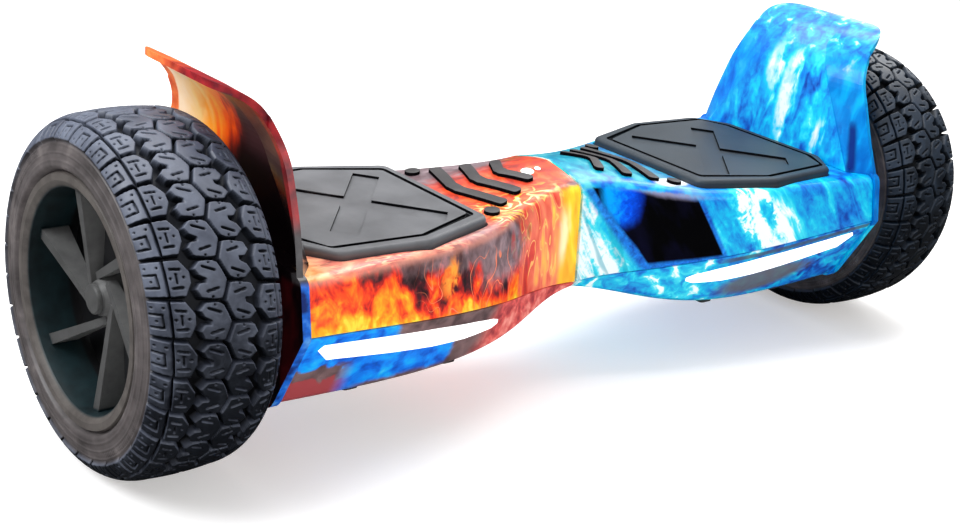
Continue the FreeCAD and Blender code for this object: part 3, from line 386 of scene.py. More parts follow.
def ice_shell():
    """Right upper shell: water and ice streaks, with a near-black window on the face next to the waist."""
    g = Graph("ice_shell")
    along, h = seam_height(g)
    lean = g.add(along, g.mul(h, 0.55))
    flat = g.join(lean, g.mul(g.y, 0.6), g.mul(h, 0.34))
    flow = g.noise(g.warped(flat, 20.0, 22.0), 13.0, 4.0, 0.55)
    fine = g.noise(g.warped(g.point, 7.0, 9.0), 4.5, 3.0, 0.55)
    wet = g.add(0.48, g.sway(flow, 1.35), g.sway(fine, 0.40))
    foam = g.mul(g.blob(g.add(lean, g.mul(fine, 16.0)), h, (171.0, 20.0), (21.0, 34.0), 0.45), 0.48)
    pool = g.blob(g.add(lean, g.sway(fine, 10.0)), h, (163.0, 27.0), (5.5, 11.0), 0.5)
    foam = g.mul(foam, g.sub(1.0, pool))
    spray = g.mul(g.step(lean, 74.0, 26.0), 0.42)
    wet = g.add(wet, foam, spray, g.mul(g.step(along, 190.0, 215.0), -0.03))
    colour = g.ramp(wet, WATER)
    glint = g.noise(g.warped(g.join(g.mul(lean, 1.4), g.y, g.mul(h, 0.12)), 16.0, 14.0), 11.0, 1.0)
    glint = g.mul(g.step(glint, 0.54, 0.64), g.step(along, 70.0, 40.0))
    colour = g.mix(g.mul(glint, 0.6), colour, (0.0, 0.38, 0.52))
    # the dark window: a leaning four-sided patch with a blue border on its waist side
    ragged = g.sway(flow, 12.0)
    past_left = g.add(slanted(g, along, 39.0, -0.82), ragged)
    past_right = slanted(g, along, 103.6, -0.53)
    below_top = g.add(slanted(g, g.mul(along, -0.146), -38.5, 1.0), g.mul(ragged, 0.3))
    border = g.mul(g.step(past_left, -11.0, -4.0), g.step(past_right, 5.0, 2.0),
                   g.step(below_top, -3.0, 4.0))
    frame_blue = g.ramp(fine, [(0.3, (0.0, 0.03, 0.35)), (0.7, (0.0, 0.22, 0.85))])
    colour = g.mix(g.mul(border, 0.9), colour, frame_blue)
    window = g.mul(g.step(past_left, -1.0, 3.0), g.step(past_right, 0.8, -0.8),
                   g.step(below_top, -2.0, 2.5), g.step(h, 1.0, 4.0))
    pane = g.ramp(g.noise(g.warped(flat, 14.0, 20.0), 22.0, 2.0), [
        (0.50, (0.0004, 0.0004, 0.001)), (0.80, (0.003, 0.003, 0.02))])
    bubble_at = g.add(along, g.mul(ragged, 0.9), g.mul(g.z, 0.15))
    bubble = g.blob(bubble_at, g.z, (41.0, 30.0), (16.0, 24.0), 0.22)
    azure = g.ramp(g.add(g.mul(along, 0.02), g.sway(fine, 0.5)), [
        (0.55, (0.0, 0.34, 0.95)), (0.80, (0.0, 0.08, 0.75)), (1.0, (0.0, 0.03, 0.40))])
    pane = g.mix(bubble, pane, azure)
    colour = g.mix(window, colour, pane)
    # Painted highlight: a grey-violet band above the window's top edge, where the shoulder reflects the
    # light.
    painted_lilac_highlight = g.blob(along, below_top, (68.0, -4.0), (25.0, 6.0), 0.4)
    colour = g.mix(g.mul(painted_lilac_highlight, 0.9), colour, (0.24, 0.22, 0.33))
    # pale cyan over the top at the waist, and a white flash beside the pad's point
    wash = g.noise(g.warped(g.point, 14.0, 16.0), 11.0, 2.0)
    pale = g.ramp(wash, [(0.3, (0.00, 0.16, 0.32)), (0.48, (0.00, 0.29, 0.42)), (0.66, (0.08, 0.46, 0.52))])
    on_top = g.step(g.add(g.nz, g.sway(fine, 0.5)), 0.30, 0.60)
    azure_wash = g.ramp(wash, [
        (0.35, (0.0, 0.10, 0.55)), (0.55, (0.0, 0.32, 0.72)), (0.7, (0.02, 0.55, 0.80))])
    inland = g.step(g.add(g.y, g.sway(wash, 30.0)), -46.0, -24.0)
    pale = g.mix(inland, azure_wash, pale)
    colour = g.mix(g.mul(on_top, g.step(along, 120.0, 60.0)), colour, pale)
    flash = g.mul(g.blob(along, g.y, (83.0, -42.0), (15.0, 8.0), 0.25), g.step(g.nz, 0.6, 0.8))
    colour = g.mix(flash, colour, (0.92, 0.98, 1.0))
    return gloss(g, colour, g.sub(0.75, g.mul(window, 0.60)))


def fire_chin():
    """Left lower shell: blue by the wheel, then a smoky band, then coral up to the waist."""
    g = Graph("fire_chin")
    along, h = seam_height(g)
    wave = g.noise(g.warped(g.point, 22.0, 24.0), 14.0, 3.0, 0.5)
    fine = g.noise(g.warped(g.point, 8.0, 8.0), 5.0, 2.0)
    blue = g.ramp(g.add(g.mul(wave, 0.9), g.mul(fine, 0.15)), [
        (0.28, (0.001, 0.030, 0.22)), (0.42, (0.000, 0.10, 0.62)), (0.54, (0.000, 0.22, 0.86)),
        (0.66, (0.000, 0.38, 0.92)), (0.80, (0.06, 0.55, 0.95))])
    smoke = g.ramp(wave, [(0.35, (0.085, 0.050, 0.052)), (0.65, (0.24, 0.145, 0.145))])
    coral = g.ramp(g.add(wave, g.sway(fine, 0.5)), [
        (0.3, (0.33, 0.035, 0.045)), (0.5, (0.70, 0.10, 0.09)), (0.72, (0.92, 0.34, 0.28))])
    edge = g.add(along, g.sway(wave, 10.0))
    under_strip = g.step(h, -6.0, -12.0)
    blue_from = g.sub(edge, g.sub(186.0, g.mul(under_strip, 56.0)))
    warm = g.mix(g.step(g.add(edge, g.mul(h, 0.5)), 78.0, 100.0), coral, smoke)
    colour = g.mix(g.step(blue_from, -3.0, 3.0), warm, blue)
    low = g.add(h, g.sway(wave, 22.0))
    corner = g.mul(g.step(low, -25.0, -28.0), g.step(along, 206.0, 222.0))
    colour = g.mix(corner, colour, g.mix(g.step(low, -35.0, -38.0), smoke, (0.36, 0.055, 0.062)))
    hem = g.mul(g.step(g.add(g.z, g.mul(wave, 8.0)), -48.0, -52.0), g.step(along, 214.0, 190.0))
    colour = g.mix(hem, colour, g.mix(g.step(along, 120.0, 100.0), smoke, coral))
    inside = g.step(g.nx, -0.5, -0.8)
    colour = g.mix(inside, colour, (0.012, 0.002, 0.003))
    return gloss(g, colour, g.sub(0.7, g.mul(inside, 0.5)))


def ice_chin():
    """Right lower shell: bright water, white at the light strip's inner end, grey below the strip."""
    g = Graph("ice_chin")
    along, h = seam_height(g)
    flow = g.noise(g.warped(g.join(g.x, g.y, g.mul(g.z, 1.5)), 18.0, 26.0), 13.0, 4.0, 0.5)
    swirl = g.mul(g.blob(g.add(along, g.mul(flow, 16.0)), h, (96.0, -14.0), (34.0, 16.0), 0.4), 0.22)
    far = g.mul(g.step(along, 120.0, 160.0), -0.12)
    near = g.mul(g.step(along, 60.0, 10.0), 0.18)
    colour = g.ramp(g.add(0.50, g.sway(flow, 1.8), swirl, far, near), WATER)
    grey = g.mul(g.blob(g.add(along, g.mul(flow, 14.0)), h, (172.0, -30.0), (44.0, 10.0), 0.3), 0.92)
    colour = g.mix(grey, colour, (0.11, 0.115, 0.13))
    brim = g.mul(g.band(h, -5.0, -1.2, 0.7), g.step(along, 105.0, 125.0))
    colour = g.mix(g.mul(brim, 0.8), colour, (0.06, 0.07, 0.09))
    return gloss(g, colour)


def fender_edge(graph):
    """How near a point is to the wheel guard's outline: about 0 at the rim, growing inwards."""
    narrowing = graph.mul(graph.sub(graph.z, FENDER_FOOT), FENDER_TAPER)
    reach = graph.math("MAXIMUM", graph.sub(FENDER_HALF, narrowing), FENDER_HALF_TOP)
    side = graph.sub(reach, graph.math("ABSOLUTE", graph.y))
    return graph.math("MINIMUM", side, graph.sub(FENDER_Z / MM + 2.0, graph.z))


def fire_fender():
    """Left wheel guard: peach and flame at the rear, dark towards the front, with a crimson rim."""
    g = Graph("fire_fender")
    spread = g.join(g.x, g.y, g.mul(g.z, 0.30))
    licks = g.noise(g.warped(spread, 18.0, 18.0), 11.0, 3.0, 0.5)
    across = g.add(g.y, g.sway(licks, 40.0), g.mul(g.sub(g.z, 96.0), 0.30))
    colour = g.ramp(g.mul(g.add(across, 46.0), 0.01), [
        (0.00, (0.003, 0.002, 0.002)), (0.22, (0.010, 0.004, 0.005)), (0.36, (0.085, 0.018, 0.018)),
        (0.44, (0.55, 0.03, 0.006)), (0.54, (1.0, 0.11, 0.002)), (0.66, (1.0, 0.34, 0.02)),
        (0.80, (1.0, 0.62, 0.22)), (1.00, (1.0, 0.74, 0.50))])
    shade = g.step(g.add(g.z, g.mul(g.y, 0.6)), 98.0, 62.0)
    colour = g.mix(g.mul(shade, g.step(g.y, 24.0, -4.0)), colour, (0.002, 0.001, 0.002))
    dusk = g.mul(g.step(g.y, -8.0, -22.0), g.step(g.z, 62.0, 104.0))
    colour = g.mix(dusk, colour, (0.060, 0.022, 0.026))
    colour = g.mix(g.mul(g.step(g.y, -2.0, -20.0), g.step(g.z, 96.0, 72.0)), colour, (0.004, 0.002, 0.003))
    rim = g.step(g.add(fender_edge(g), g.sway(licks, 1.5)), 7.5, 6.0)
    tip = g.step(g.add(g.y, g.mul(g.z, 0.4)), 40.0, 84.0)
    grain = g.noise(g.point, 9.0, 3.0)
    crimson = g.ramp(grain, [(0.3, (0.10, 0.004, 0.010)), (0.7, (0.42, 0.016, 0.020))])
    tipped = g.mix(tip, crimson, g.ramp(grain, [(0.3, (0.60, 0.05, 0.012)), (0.7, (0.95, 0.22, 0.05))]))
    charcoal = g.ramp(grain, [(0.3, (0.020, 0.018, 0.020)), (0.7, (0.075, 0.070, 0.075))])
    colour = g.mix(rim, colour, g.mix(g.step(g.z, 66.0, 52.0), tipped, charcoal))
    blue = g.ramp(grain, [
        (0.35, (0.004, 0.02, 0.14)), (0.55, (0.002, 0.12, 0.60)), (0.75, (0.10, 0.36, 0.75))])
    low = g.add(g.z, g.sway(licks, 8.0))
    facing_front = g.step(g.ny, -0.15, -0.4)
    red_inside = g.ramp(licks, [(0.40, (0.003, 0.001, 0.002)), (0.65, (0.050, 0.003, 0.005))])
    colour = g.mix(g.step(low, 30.0, 26.0), colour, g.mix(facing_front, red_inside, blue))
    return gloss(g, colour, g.mix_value(facing_front, 0.35, 1.0))


def ice_fender():
    """Right wheel guard: mottled water with foam running up the middle, plain blue side facets, and painted
    shade by a facet's step and towards the rear edge.
    """
    g = Graph("ice_fender")
    tall = g.join(g.x, g.y, g.mul(g.z, 0.45))
    flow = g.noise(g.warped(tall, 15.0, 20.0), 11.0, 3.0, 0.5)
    fine = g.noise(g.warped(g.point, 7.0, 7.0), 5.0, 2.0)
    leaning = g.add(g.y, g.sway(flow, 16.0))
    foam = g.math("MAXIMUM", g.blob(leaning, g.z, (1.0, 72.0), (7.0, 34.0), 0.5),
                  g.blob(leaning, g.z, (-38.0, 47.0), (5.0, 16.0), 0.5))
    foam = g.math("MAXIMUM", foam, g.blob(leaning, g.z, (18.0, 92.0), (7.0, 22.0), 0.6))
    wet = g.add(0.49, g.sway(flow, 1.4), g.sway(fine, 0.30), g.mul(foam, 0.42))
    lather = g.ramp(wet, [(0.62, (0.0, 0.50, 0.85)), (0.76, (0.52, 0.60, 0.74))])
    colour = g.mix(g.mul(foam, 0.6), g.ramp(wet, WATER), lather)
    narrowing = g.mul(g.sub(g.z, FENDER_FOOT), CREASE_TAPER)
    crease = g.math("MAXIMUM", g.sub(CREASE_HALF, narrowing), CREASE_HALF_TOP)
    past_crease = g.sub(g.mul(g.y, -1.0), crease)
    facet = g.mul(g.step(past_crease, -0.6, 0.6), g.step(g.z, 128.0, 122.0))
    plain = g.ramp(g.add(g.mul(flow, 0.7), g.mul(g.z, 0.002)), [
        (0.30, (0.000, 0.07, 0.36)), (0.48, (0.000, 0.18, 0.54)), (0.65, (0.000, 0.36, 0.72))])
    # Painted shade: a dark navy band low on the side facet, where the crease steps.
    crease_step_shade = g.mul(g.band(g.add(g.y, g.mul(g.z, -0.28)), -86.0, -80.5, 1.6), g.band(g.z, 30.0, 66.0, 5.0))
    plain = g.mix(g.mul(crease_step_shade, 0.92), plain, (0.002, 0.012, 0.14))
    # Painted shade: darker blue towards the rear edge, lower down, where the surface curves away.
    rear = g.step(g.sub(g.y, crease), -14.0, 4.0)
    colour = g.mix(g.mul(rear, 0.6, g.step(g.z, 130.0, 100.0)), colour, (0.000, 0.12, 0.55))
    colour = g.mix(facet, colour, plain)
    patches = g.ramp(g.noise(g.warped(g.point, 12.0, 16.0), 10.0, 2.0), [
        (0.36, (0.0, 0.10, 0.42)), (0.50, (0.0, 0.24, 0.50)),
        (0.62, (0.01, 0.42, 0.56)), (0.70, (0.42, 0.56, 0.60))])
    brow = g.step(g.add(g.z, g.sway(fine, 24.0)), 98.0, 118.0)
    colour = g.mix(g.mul(brow, 0.9), colour, patches)
    return gloss(g, colour, g.sub(1.0, g.mul(facet, 0.75)))


# ---- rubber, metal and the rest --------------------------
def rubber(name, colour, rough=0.55, grain=0.9, depth=0.04):
    """Moulded rubber with a fine grain, uneven sheen and a little dust."""
    g = Graph(name)
    dust = g.noise(g.point, 34.0, 4.0, 0.6)
    dark = tuple(0.72 * c for c in colour)
    light = tuple(1.25 * c + 0.004 for c in colour)
    g.put(Base_Color=g.ramp(dust, [(0.32, dark), (0.52, colour), (0.75, light)]),
          Roughness=g.add(rough - 0.08, g.mul(dust, 0.18)), Specular_IOR_Level=0.42)
    g.bump(g.add(g.noise(g.point, grain, 3.0, 0.6), g.mul(g.cells(g.point, grain * 1.4), 0.5)), depth, 0.6)
    return g.material


def pad_rubber():
    """Foot pad rubber: satin grey, with painted shade: black in the border's groove and down the sides of
    the sunken X, darker down the pad's own sides, and a darker, bluer right pad.
    """
    g = Graph("pad_rubber")
    dust = g.noise(g.point, 34.0, 4.0, 0.6)
    tone = g.ramp(dust, [
        (0.32, (0.085, 0.087, 0.094)), (0.52, (0.112, 0.115, 0.124)), (0.75, (0.145, 0.148, 0.158))])
    # Painted shade: the right pad gets a darker, bluer copy of the same rubber.
    shaded_right_pad = g.ramp(dust, [(0.32, (0.010, 0.018, 0.027)), (0.75, (0.022, 0.036, 0.050))])
    tone = g.mix(g.step(g.x, -20.0, 20.0), tone, shaded_right_pad)
    depth = g.sub(PAD_TOP, g.z)
    # Painted shade: the steep sides of the sunken X and the floor of the border's groove are made
    # near-black.
    shaded_walls = g.mul(g.band(depth, 0.05, 1.9, 0.04), g.step(g.nz, 0.35, 0.25))
    groove = g.mul(g.band(depth, 2.1, 2.6, 0.1), g.step(g.nz, 0.96, 0.99))
    dark = g.add(shaded_walls, groove)
    # Painted shade: the pad's sides, below its top, are made darker.
    side = g.mul(g.step(depth, 3.0, 5.0), g.step(g.nz, 0.5, 0.2))
    tone = g.mix(g.mul(side, 0.6), tone, (0.035, 0.036, 0.042))
    g.put(Base_Color=g.mix(dark, tone, (0.003, 0.003, 0.004)), Roughness=g.add(0.42, g.mul(dust, 0.18)),
          Specular_IOR_Level=g.mix_value(dark, 0.45, 0.05))
    g.bump(g.add(g.noise(g.point, 0.9, 3.0, 0.6), g.mul(g.cells(g.point, 1.3), 0.5)), 0.04, 0.5)
    return g.material


def grip_rubber():
    """Raised chevrons and studs: worn grey on top, with painted shade making them black down their sides.
    """
    g = Graph("grip_rubber")
    dust = g.noise(g.point, 20.0, 4.0, 0.6)
    tops = g.ramp(dust, [
        (0.32, (0.030, 0.028, 0.030)), (0.55, (0.046, 0.042, 0.044)), (0.75, (0.070, 0.064, 0.066))])
    # Painted shade: where the surface turns away from up, it is made near-black.
    g.put(Base_Color=g.mix(g.step(g.nz, 0.75, 0.45), tops, (0.004, 0.003, 0.004)),
          Roughness=g.add(0.40, g.mul(dust, 0.2)),
          Specular_IOR_Level=g.mul(0.45, g.step(g.nz, 0.2, 0.8)))
    g.bump(g.noise(g.point, 0.9, 3.0, 0.6), 0.04, 0.5)
    return g.material


def tyre_rubber():
    """Tread rubber: blue-grey blocks, grooves and sipes painted black as shade, a worn brown-grey sidewall,
    painted shade where the tread faces down, and the near tyre painted lighter than the far one.
    """
    g = Graph("tyre_rubber")
    radius = g.radius()
    grime = g.noise(g.warped(g.point, 20.0, 14.0), 18.0, 4.0, 0.6)
    # Painted light and shade: the near, left tyre is lighter and the far, right tyre darker, though both
    # are the same rubber.
    near = g.ramp(grime, [
        (0.3, (0.036, 0.043, 0.066)), (0.55, (0.072, 0.084, 0.120)), (0.8, (0.13, 0.15, 0.20))])
    far = g.ramp(grime, [(0.3, (0.002, 0.008, 0.018)), (0.8, (0.014, 0.030, 0.058))])
    tread = g.mix(g.step(g.x, -20.0, 20.0), near, far)
    wall = g.ramp(grime, [
        (0.3, (0.034, 0.029, 0.029)), (0.6, (0.080, 0.068, 0.068)), (0.8, (0.15, 0.13, 0.125))])
    # Painted shade: the tread darkens where it faces down and towards the front, by the world normal, so it
    # stays at the bottom as the wheel turns.
    painted_underside_shade = g.step(g.add(g.nz, g.mul(g.ny, 0.35), g.sway(grime, 0.8)), 0.20, -0.55)
    tread = g.mix(g.mul(painted_underside_shade, 0.94), tread, (0.002, 0.003, 0.005))
    colour = g.mix(g.step(radius, 95.0, 91.0), tread, wall)
    # Painted shade: the grooves and sipes, from the mesh attribute set on the tread, are made near-black.
    colour = g.mix(g.attribute("groove"), colour, (0.0015, 0.0015, 0.002))
    g.put(Base_Color=colour, Roughness=g.add(0.34, g.mul(grime, 0.26)),
          Specular_IOR_Level=g.mix_value(g.math("MAXIMUM", g.attribute("groove"), painted_underside_shade), 0.5, 0.1))
    g.bump(g.noise(g.point, 0.8, 3.0, 0.6), 0.05, 0.6)
    return g.material


def metal(name, colour, rough=0.35, size=3.0, stretch=(1, 1, 1), depth=0.02, metallic=1.0):
    """Metal with grain that can be stretched into brushing, and patchy polish."""
    g = Graph(name)
    grain = g.noise(g.vector("MULTIPLY", g.point, stretch), size, 4.0, 0.6)
    patch = g.noise(g.point, size * 12, 3.0)
    dark = tuple(0.75 * c for c in colour)
    g.put(Base_Color=g.ramp(grain, [(0.3, dark), (0.7, colour)]), Metallic=metallic,
          Roughness=g.add(rough - 0.1, g.mul(grain, 0.1), g.mul(patch, 0.12)))
    g.bump(grain, depth, 0.5)
    return g.material


def rim_paint():
    """Satin paint on the cast rim: grey blades with sides painted lighter as painted light, a worn brownish
    lip, a black barrel with a painted teal reflection, and painted near-black shade in the dish behind the
    blades.
    """
    g = Graph("rim_paint")
    radius = g.radius()
    depth_in = g.sub(TYRE_OUT / MM, g.math("ABSOLUTE", g.x))
    wear = g.noise(g.point, 12.0, 5.0, 0.65)
    facing_out = g.step(g.math("ABSOLUTE", g.nx), 0.4, 0.7)
    front = g.ramp(wear, [(0.3, (0.040, 0.040, 0.040)), (0.7, (0.066, 0.066, 0.066))])
    # Painted light: the blades' sides, which face across the wheel, are made lighter than their fronts.
    lit_blade_sides = g.ramp(wear, [(0.3, (0.10, 0.10, 0.10)), (0.7, (0.15, 0.15, 0.148))])
    blades = g.mix(facing_out, lit_blade_sides, front)
    # Painted reflection: the teal in the barrel's black stands in for reflected light.
    barrel = g.ramp(wear, [(0.3, (0.003, 0.008, 0.010)), (0.7, (0.006, 0.022, 0.027))])
    lip = g.ramp(wear, [(0.3, (0.045, 0.038, 0.035)), (0.7, (0.10, 0.088, 0.080))])
    colour = g.mix(g.step(radius, BARREL_R - 0.5, BARREL_R + 1.0), blades, barrel)
    # Painted shade: the dish behind the blades is made near-black.
    colour = g.mix(g.step(depth_in, 28.5, 31.0), colour, (0.002, 0.002, 0.003))
    on_lip = g.mul(g.step(radius, RIM_LIP_R, RIM_LIP_R + 1.5), g.step(depth_in, 12.0, 8.0))
    colour = g.mix(on_lip, colour, lip)
    g.put(Base_Color=colour, Roughness=g.add(0.38, g.mul(wear, 0.2)), Specular_IOR_Level=0.4)
    g.bump(g.noise(g.point, 1.6, 3.0), 0.03, 0.5)
    return g.material


def glow(name, colour, strength, size=6.0):
    """A frosted light guide lit from behind, a little brighter in front of each lamp."""
    g = Graph(name)
    pulse = g.math("COSINE", g.mul(g.x, 2 * math.pi / 12.0))
    haze = g.noise(g.point, size, 2.0)
    level = g.add(strength, g.mul(pulse, 0.04 * strength), g.mul(haze, 0.05 * strength))
    g.put(Base_Color=colour, Roughness=0.3, Emission_Color=colour, Emission_Strength=level, Coat_Weight=0.6)
    g.bump(g.noise(g.point, 1.2, 2.0), 0.01, 0.3)
    return g.material


def plastic(name, colour, rough=0.45, size=1.4):
    """Moulded plastic with a fine spark-eroded texture."""
    g = Graph(name)
    tone = g.noise(g.point, 22.0, 3.0)
    dark = tuple(0.85 * c for c in colour)
    g.put(Base_Color=g.ramp(tone, [(0.3, dark), (0.7, colour)]),
          Roughness=g.add(rough - 0.05, g.mul(tone, 0.1)))
    g.bump(g.noise(g.point, size, 3.0, 0.6), 0.02, 0.5)
    return g.material


def circuit(name, mask, track):
    """A circuit board's solder mask with fine tracks showing through."""
    g = Graph(name)
    grid = g.cells(g.vector("SNAP", g.point, (2.5, 2.5, 2.5)), 4.0)
    lines = g.step(g.math("PINGPONG", g.add(g.x, g.mul(g.y, 0.5)), 1.6), 0.5, 0.35)
    g.put(Base_Color=g.mix(g.mul(lines, g.step(grid, 0.35, 0.5), 0.6), mask, track),
          Roughness=0.32, Coat_Weight=0.4)
    g.bump(lines, 0.03, 0.4)
    return g.material


def shrink_wrap():
    """Heat-shrunk film over cells: glossy, wrinkled, with the cells' rows showing."""
    g = Graph("shrink_wrap")
    rows = g.math("PINGPONG", g.x, 9.4)
    wrinkle = g.noise(g.warped(g.point, 12.0, 16.0), 7.0, 4.0)
    g.put(Base_Color=g.ramp(wrinkle, [(0.3, (0.01, 0.03, 0.20)), (0.7, (0.02, 0.07, 0.36))]),
          Roughness=g.add(0.12, g.mul(wrinkle, 0.2)))
    g.bump(g.add(g.mul(rows, 0.12), wrinkle), 0.4, 0.5)
    return g.material


def side_pair(name):
    """The left and the right node of a kind."""
    return ["left_" + name, "right_" + name]


def paint_nodes():
    """Gives every CAD node its material."""
    coats = {
        fire_shell(): ["left_upper_shell"],
        ice_shell(): ["right_upper_shell"],
        fire_chin(): ["left_lower_shell"],
        ice_chin(): ["right_lower_shell"],
        fire_fender(): ["left_fender"],
        ice_fender(): ["right_fender"],
        pad_rubber(): side_pair("foot_pad"),
        grip_rubber(): side_pair("grip_strips"),
        rubber("foot_rubber", (0.030, 0.028, 0.028), 0.6): side_pair("feet") + ["charge_cap"],
        rubber("cable_rubber", (0.012, 0.012, 0.013), 0.4): side_pair("motor_cable") + ["centre_harness"],
        tyre_rubber(): side_pair("tyre"),
        rim_paint(): side_pair("rim") + side_pair("hub_cap"),
        metal("cover_paint", (0.035, 0.035, 0.037), 0.45, metallic=0.3): side_pair("motor_cover"),
        metal("cast_aluminium", (0.60, 0.61, 0.63), 0.50, 1.6, depth=0.06):
            side_pair("frame") + side_pair("axle_clamp"),
        metal("black_bolts", (0.10, 0.10, 0.11), 0.42): side_pair("deck_bolts") + side_pair("cover_bolts"),
        metal("turned_steel", (0.56, 0.56, 0.58), 0.28, 1.5, (6, 1, 1)):
            side_pair("axle") + side_pair("bearings") + ["pivot_tube", "stop_pin", "snap_ring"],
        metal("laminations", (0.36, 0.36, 0.38), 0.40, 1.0, (8, 0.3, 0.3)):
            side_pair("stator") + side_pair("magnets") + ["battery_strap"],
        metal("copper_wire", (0.72, 0.30, 0.12), 0.30, 0.8, (1, 4, 4), 0.05): side_pair("windings"),
        glow("headlight", (1.0, 1.0, 1.0), 0.9): side_pair("light_strips"),
        glow("status_lamp", (0.92, 1.0, 0.96), 0.9): ["status_lights"],
        circuit("green_board", (0.012, 0.11, 0.045), (0.05, 0.28, 0.12)):
            side_pair("sensor_board") + ["main_board"],
        circuit("white_board", (0.72, 0.72, 0.70), (0.55, 0.55, 0.52)): side_pair("led_boards"),
        plastic("nylon", (0.78, 0.76, 0.68)): ["pivot_bushes"],
        plastic("black_plastic", (0.018, 0.018, 0.020), 0.35):
            side_pair("pad_plungers") + ["power_button", "charge_socket"],
        shrink_wrap(): ["battery_pack"],
    }
    for material, names in coats.items():
        for name in names:
            mesh = NODES[name].data
            mesh.materials.clear()
            mesh.materials.append(material)
    return {material.name: material for material in coats}


# ---- softened CAD edges ----------------------------------
def soften(name, width, angle=35.0, segments=2):
    """Small rounded edges on a carried-over CAD node, by modifiers only."""
    node = NODES[name]
    weld = node.modifiers.new("weld", "WELD")
    weld.merge_threshold = 0.002 * MM
    bevel = node.modifiers.new("edge", "BEVEL")
    bevel.limit_method = "ANGLE"
    bevel.angle_limit = math.radians(angle)
    bevel.width = width * MM
    bevel.segments = segments
    bevel.miter_outer = "MITER_ARC"


# ---- tyres -----------------------------------------------
PITCHES = 30              # tread pattern repeats round the tyre
PER_PITCH = 44            # mesh columns in one repeat
PITCH = 2 * math.pi * TYRE_R / MM / PITCHES
FLAT_HALF = 18.5          # half the width of the flat crown
SHOULDER = 24.0           # shoulder radius
LUG_END = 46.0            # lugs reach this far from the middle, measured over the surface
GROOVE = 5.6              # depth of the grooves
SIPE = 2.0                # depth of the sipes
WALL_SINK = 2.2           # the sidewall lies this far inside the lugs' surface
WALL_FALL = 5.4           # straight stretch of sidewall below the shoulder's arc
RINGS = (48.9, 54.2, 58.8)    # moulded rings on the sidewall, measured like LUG_END
RIBS = 240                # fine ribs round the sidewall, between the first two rings
SEAT_R = 72.0             # the tyre's seat on the rim
BEAD_INSET = 5.0          # each bead stands this far inside the tyre's width
STEP = 0.55               # mesh spacing across the tread
SLANT = 0.16              # how far the pattern runs round the tyre for each millimetre outwards
CROWN_DROP = 0.9          # the flat crown falls by this much at its edges

# One repeat of the tread from the middle to one shoulder, in millimetres: s over the surface, t round the
# tyre. The other half is the same pattern turned half way round, so the edges at the middle interlock.
BLOCKS = [
    [(3.0, 1.2), (8.0, 0.8), (15.2, 1.4), (17.4, 6.0), (14.6, 9.3), (10.8, 9.6), (10.6, 11.8), (14.6, 13.6),
     (16.8, 17.2), (12.8, 21.4), (6.0, 22.0), (3.0, 20.8), (1.0, 17.0), (-1.2, 11.3), (1.0, 5.6)],
    [(19.6, 9.2), (23.2, 2.2), (31.8, 1.6), (32.6, 21.6), (24.4, 21.8), (19.4, 15.4)],
    [(33.4, 1.6), (LUG_END, 1.2), (LUG_END + 1.0, 21.8), (34.2, 21.5)],
]
SIPES = [
    [(4.8, 6.8), (11.0, 4.8)], [(5.2, 16.4), (12.0, 18.4)],
    [(24.6, 6.8), (29.8, 6.2)], [(24.8, 16.6), (30.0, 16.8)], [(27.2, 9.4), (27.4, 14.0)],
    [(44.6, 6.4), (37.2, 6.6), (37.6, 14.0), (44.8, 14.0)],
]
PINHOLES = [(23.2, 12.4), (30.4, 11.6), (41.0, 10.2), (36.6, 18.0), (43.4, 18.0), (8.4, 1.8), (8.0, 20.6)]


def smoothstep(value, low, high):
    """0 below low, 1 above high, and a smooth rise between."""
    share = np.clip((value - low) / (high - low), 0, 1)
    return share * share * (3 - 2 * share)


def segment_distance(s, t, a, b):
    """Distance from points (s, t) to the line segment a-b."""
    ab = np.array(b) - np.array(a)
    share = np.clip(((s - a[0]) * ab[0] + (t - a[1]) * ab[1]) / (ab @ ab), 0, 1)
    return np.hypot(s - a[0] - share * ab[0], t - a[1] - share * ab[1])


def outline_distance(s, t, outline):
    """Signed distance to a closed outline, negative inside."""
    nearest = np.full(s.shape, 1e9)
    inside = np.zeros(s.shape, bool)
    for a, b in zip(outline, outline[1:] + outline[:1]):
        nearest = np.minimum(nearest, segment_distance(s, t, a, b))
        crosses = (a[1] > t) != (b[1] > t)
        run = (b[0] - a[0]) / (b[1] - a[1] + 1e-9)
        inside ^= crosses & (s < a[0] + run * (t - a[1]))
    return np.where(inside, -nearest, nearest)


def tread_half(s, t):
    """One half of one repeat: how solid the rubber is, and how far sipes cut it, each from 0 to 1."""
    t = t - SLANT * s
    solid = np.zeros(s.shape)
    cut = np.zeros(s.shape)
    for shift in (-PITCH, 0.0, PITCH):
        for outline in BLOCKS:
            edge = outline_distance(s, t + shift, outline)
            solid = np.maximum(solid, 1 - smoothstep(edge, -0.2, 0.7))
        for line in SIPES:
            for a, b in zip(line, line[1:]):
                away = segment_distance(s, t + shift, a, b)
                cut = np.maximum(cut, 1 - smoothstep(away, 0.25, 0.75))
        for s0, t0 in PINHOLES:
            cut = np.maximum(cut, 1 - smoothstep(np.hypot(s - s0, t + shift - t0), 0.3, 0.8))
    return solid, cut


def tread_cell(s):
    """Both halves of one repeat on the mesh grid: (solid, cut), rows across the tyre, columns round it."""
    t = np.arange(PER_PITCH) * PITCH / PER_PITCH
    s_grid, t_grid = np.meshgrid(s, t, indexing="ij")
    here = tread_half(s_grid, t_grid)
    there = tread_half(-s_grid, PITCH / 2 - t_grid)
    return np.maximum(here[0], there[0]), np.maximum(here[1], there[1])


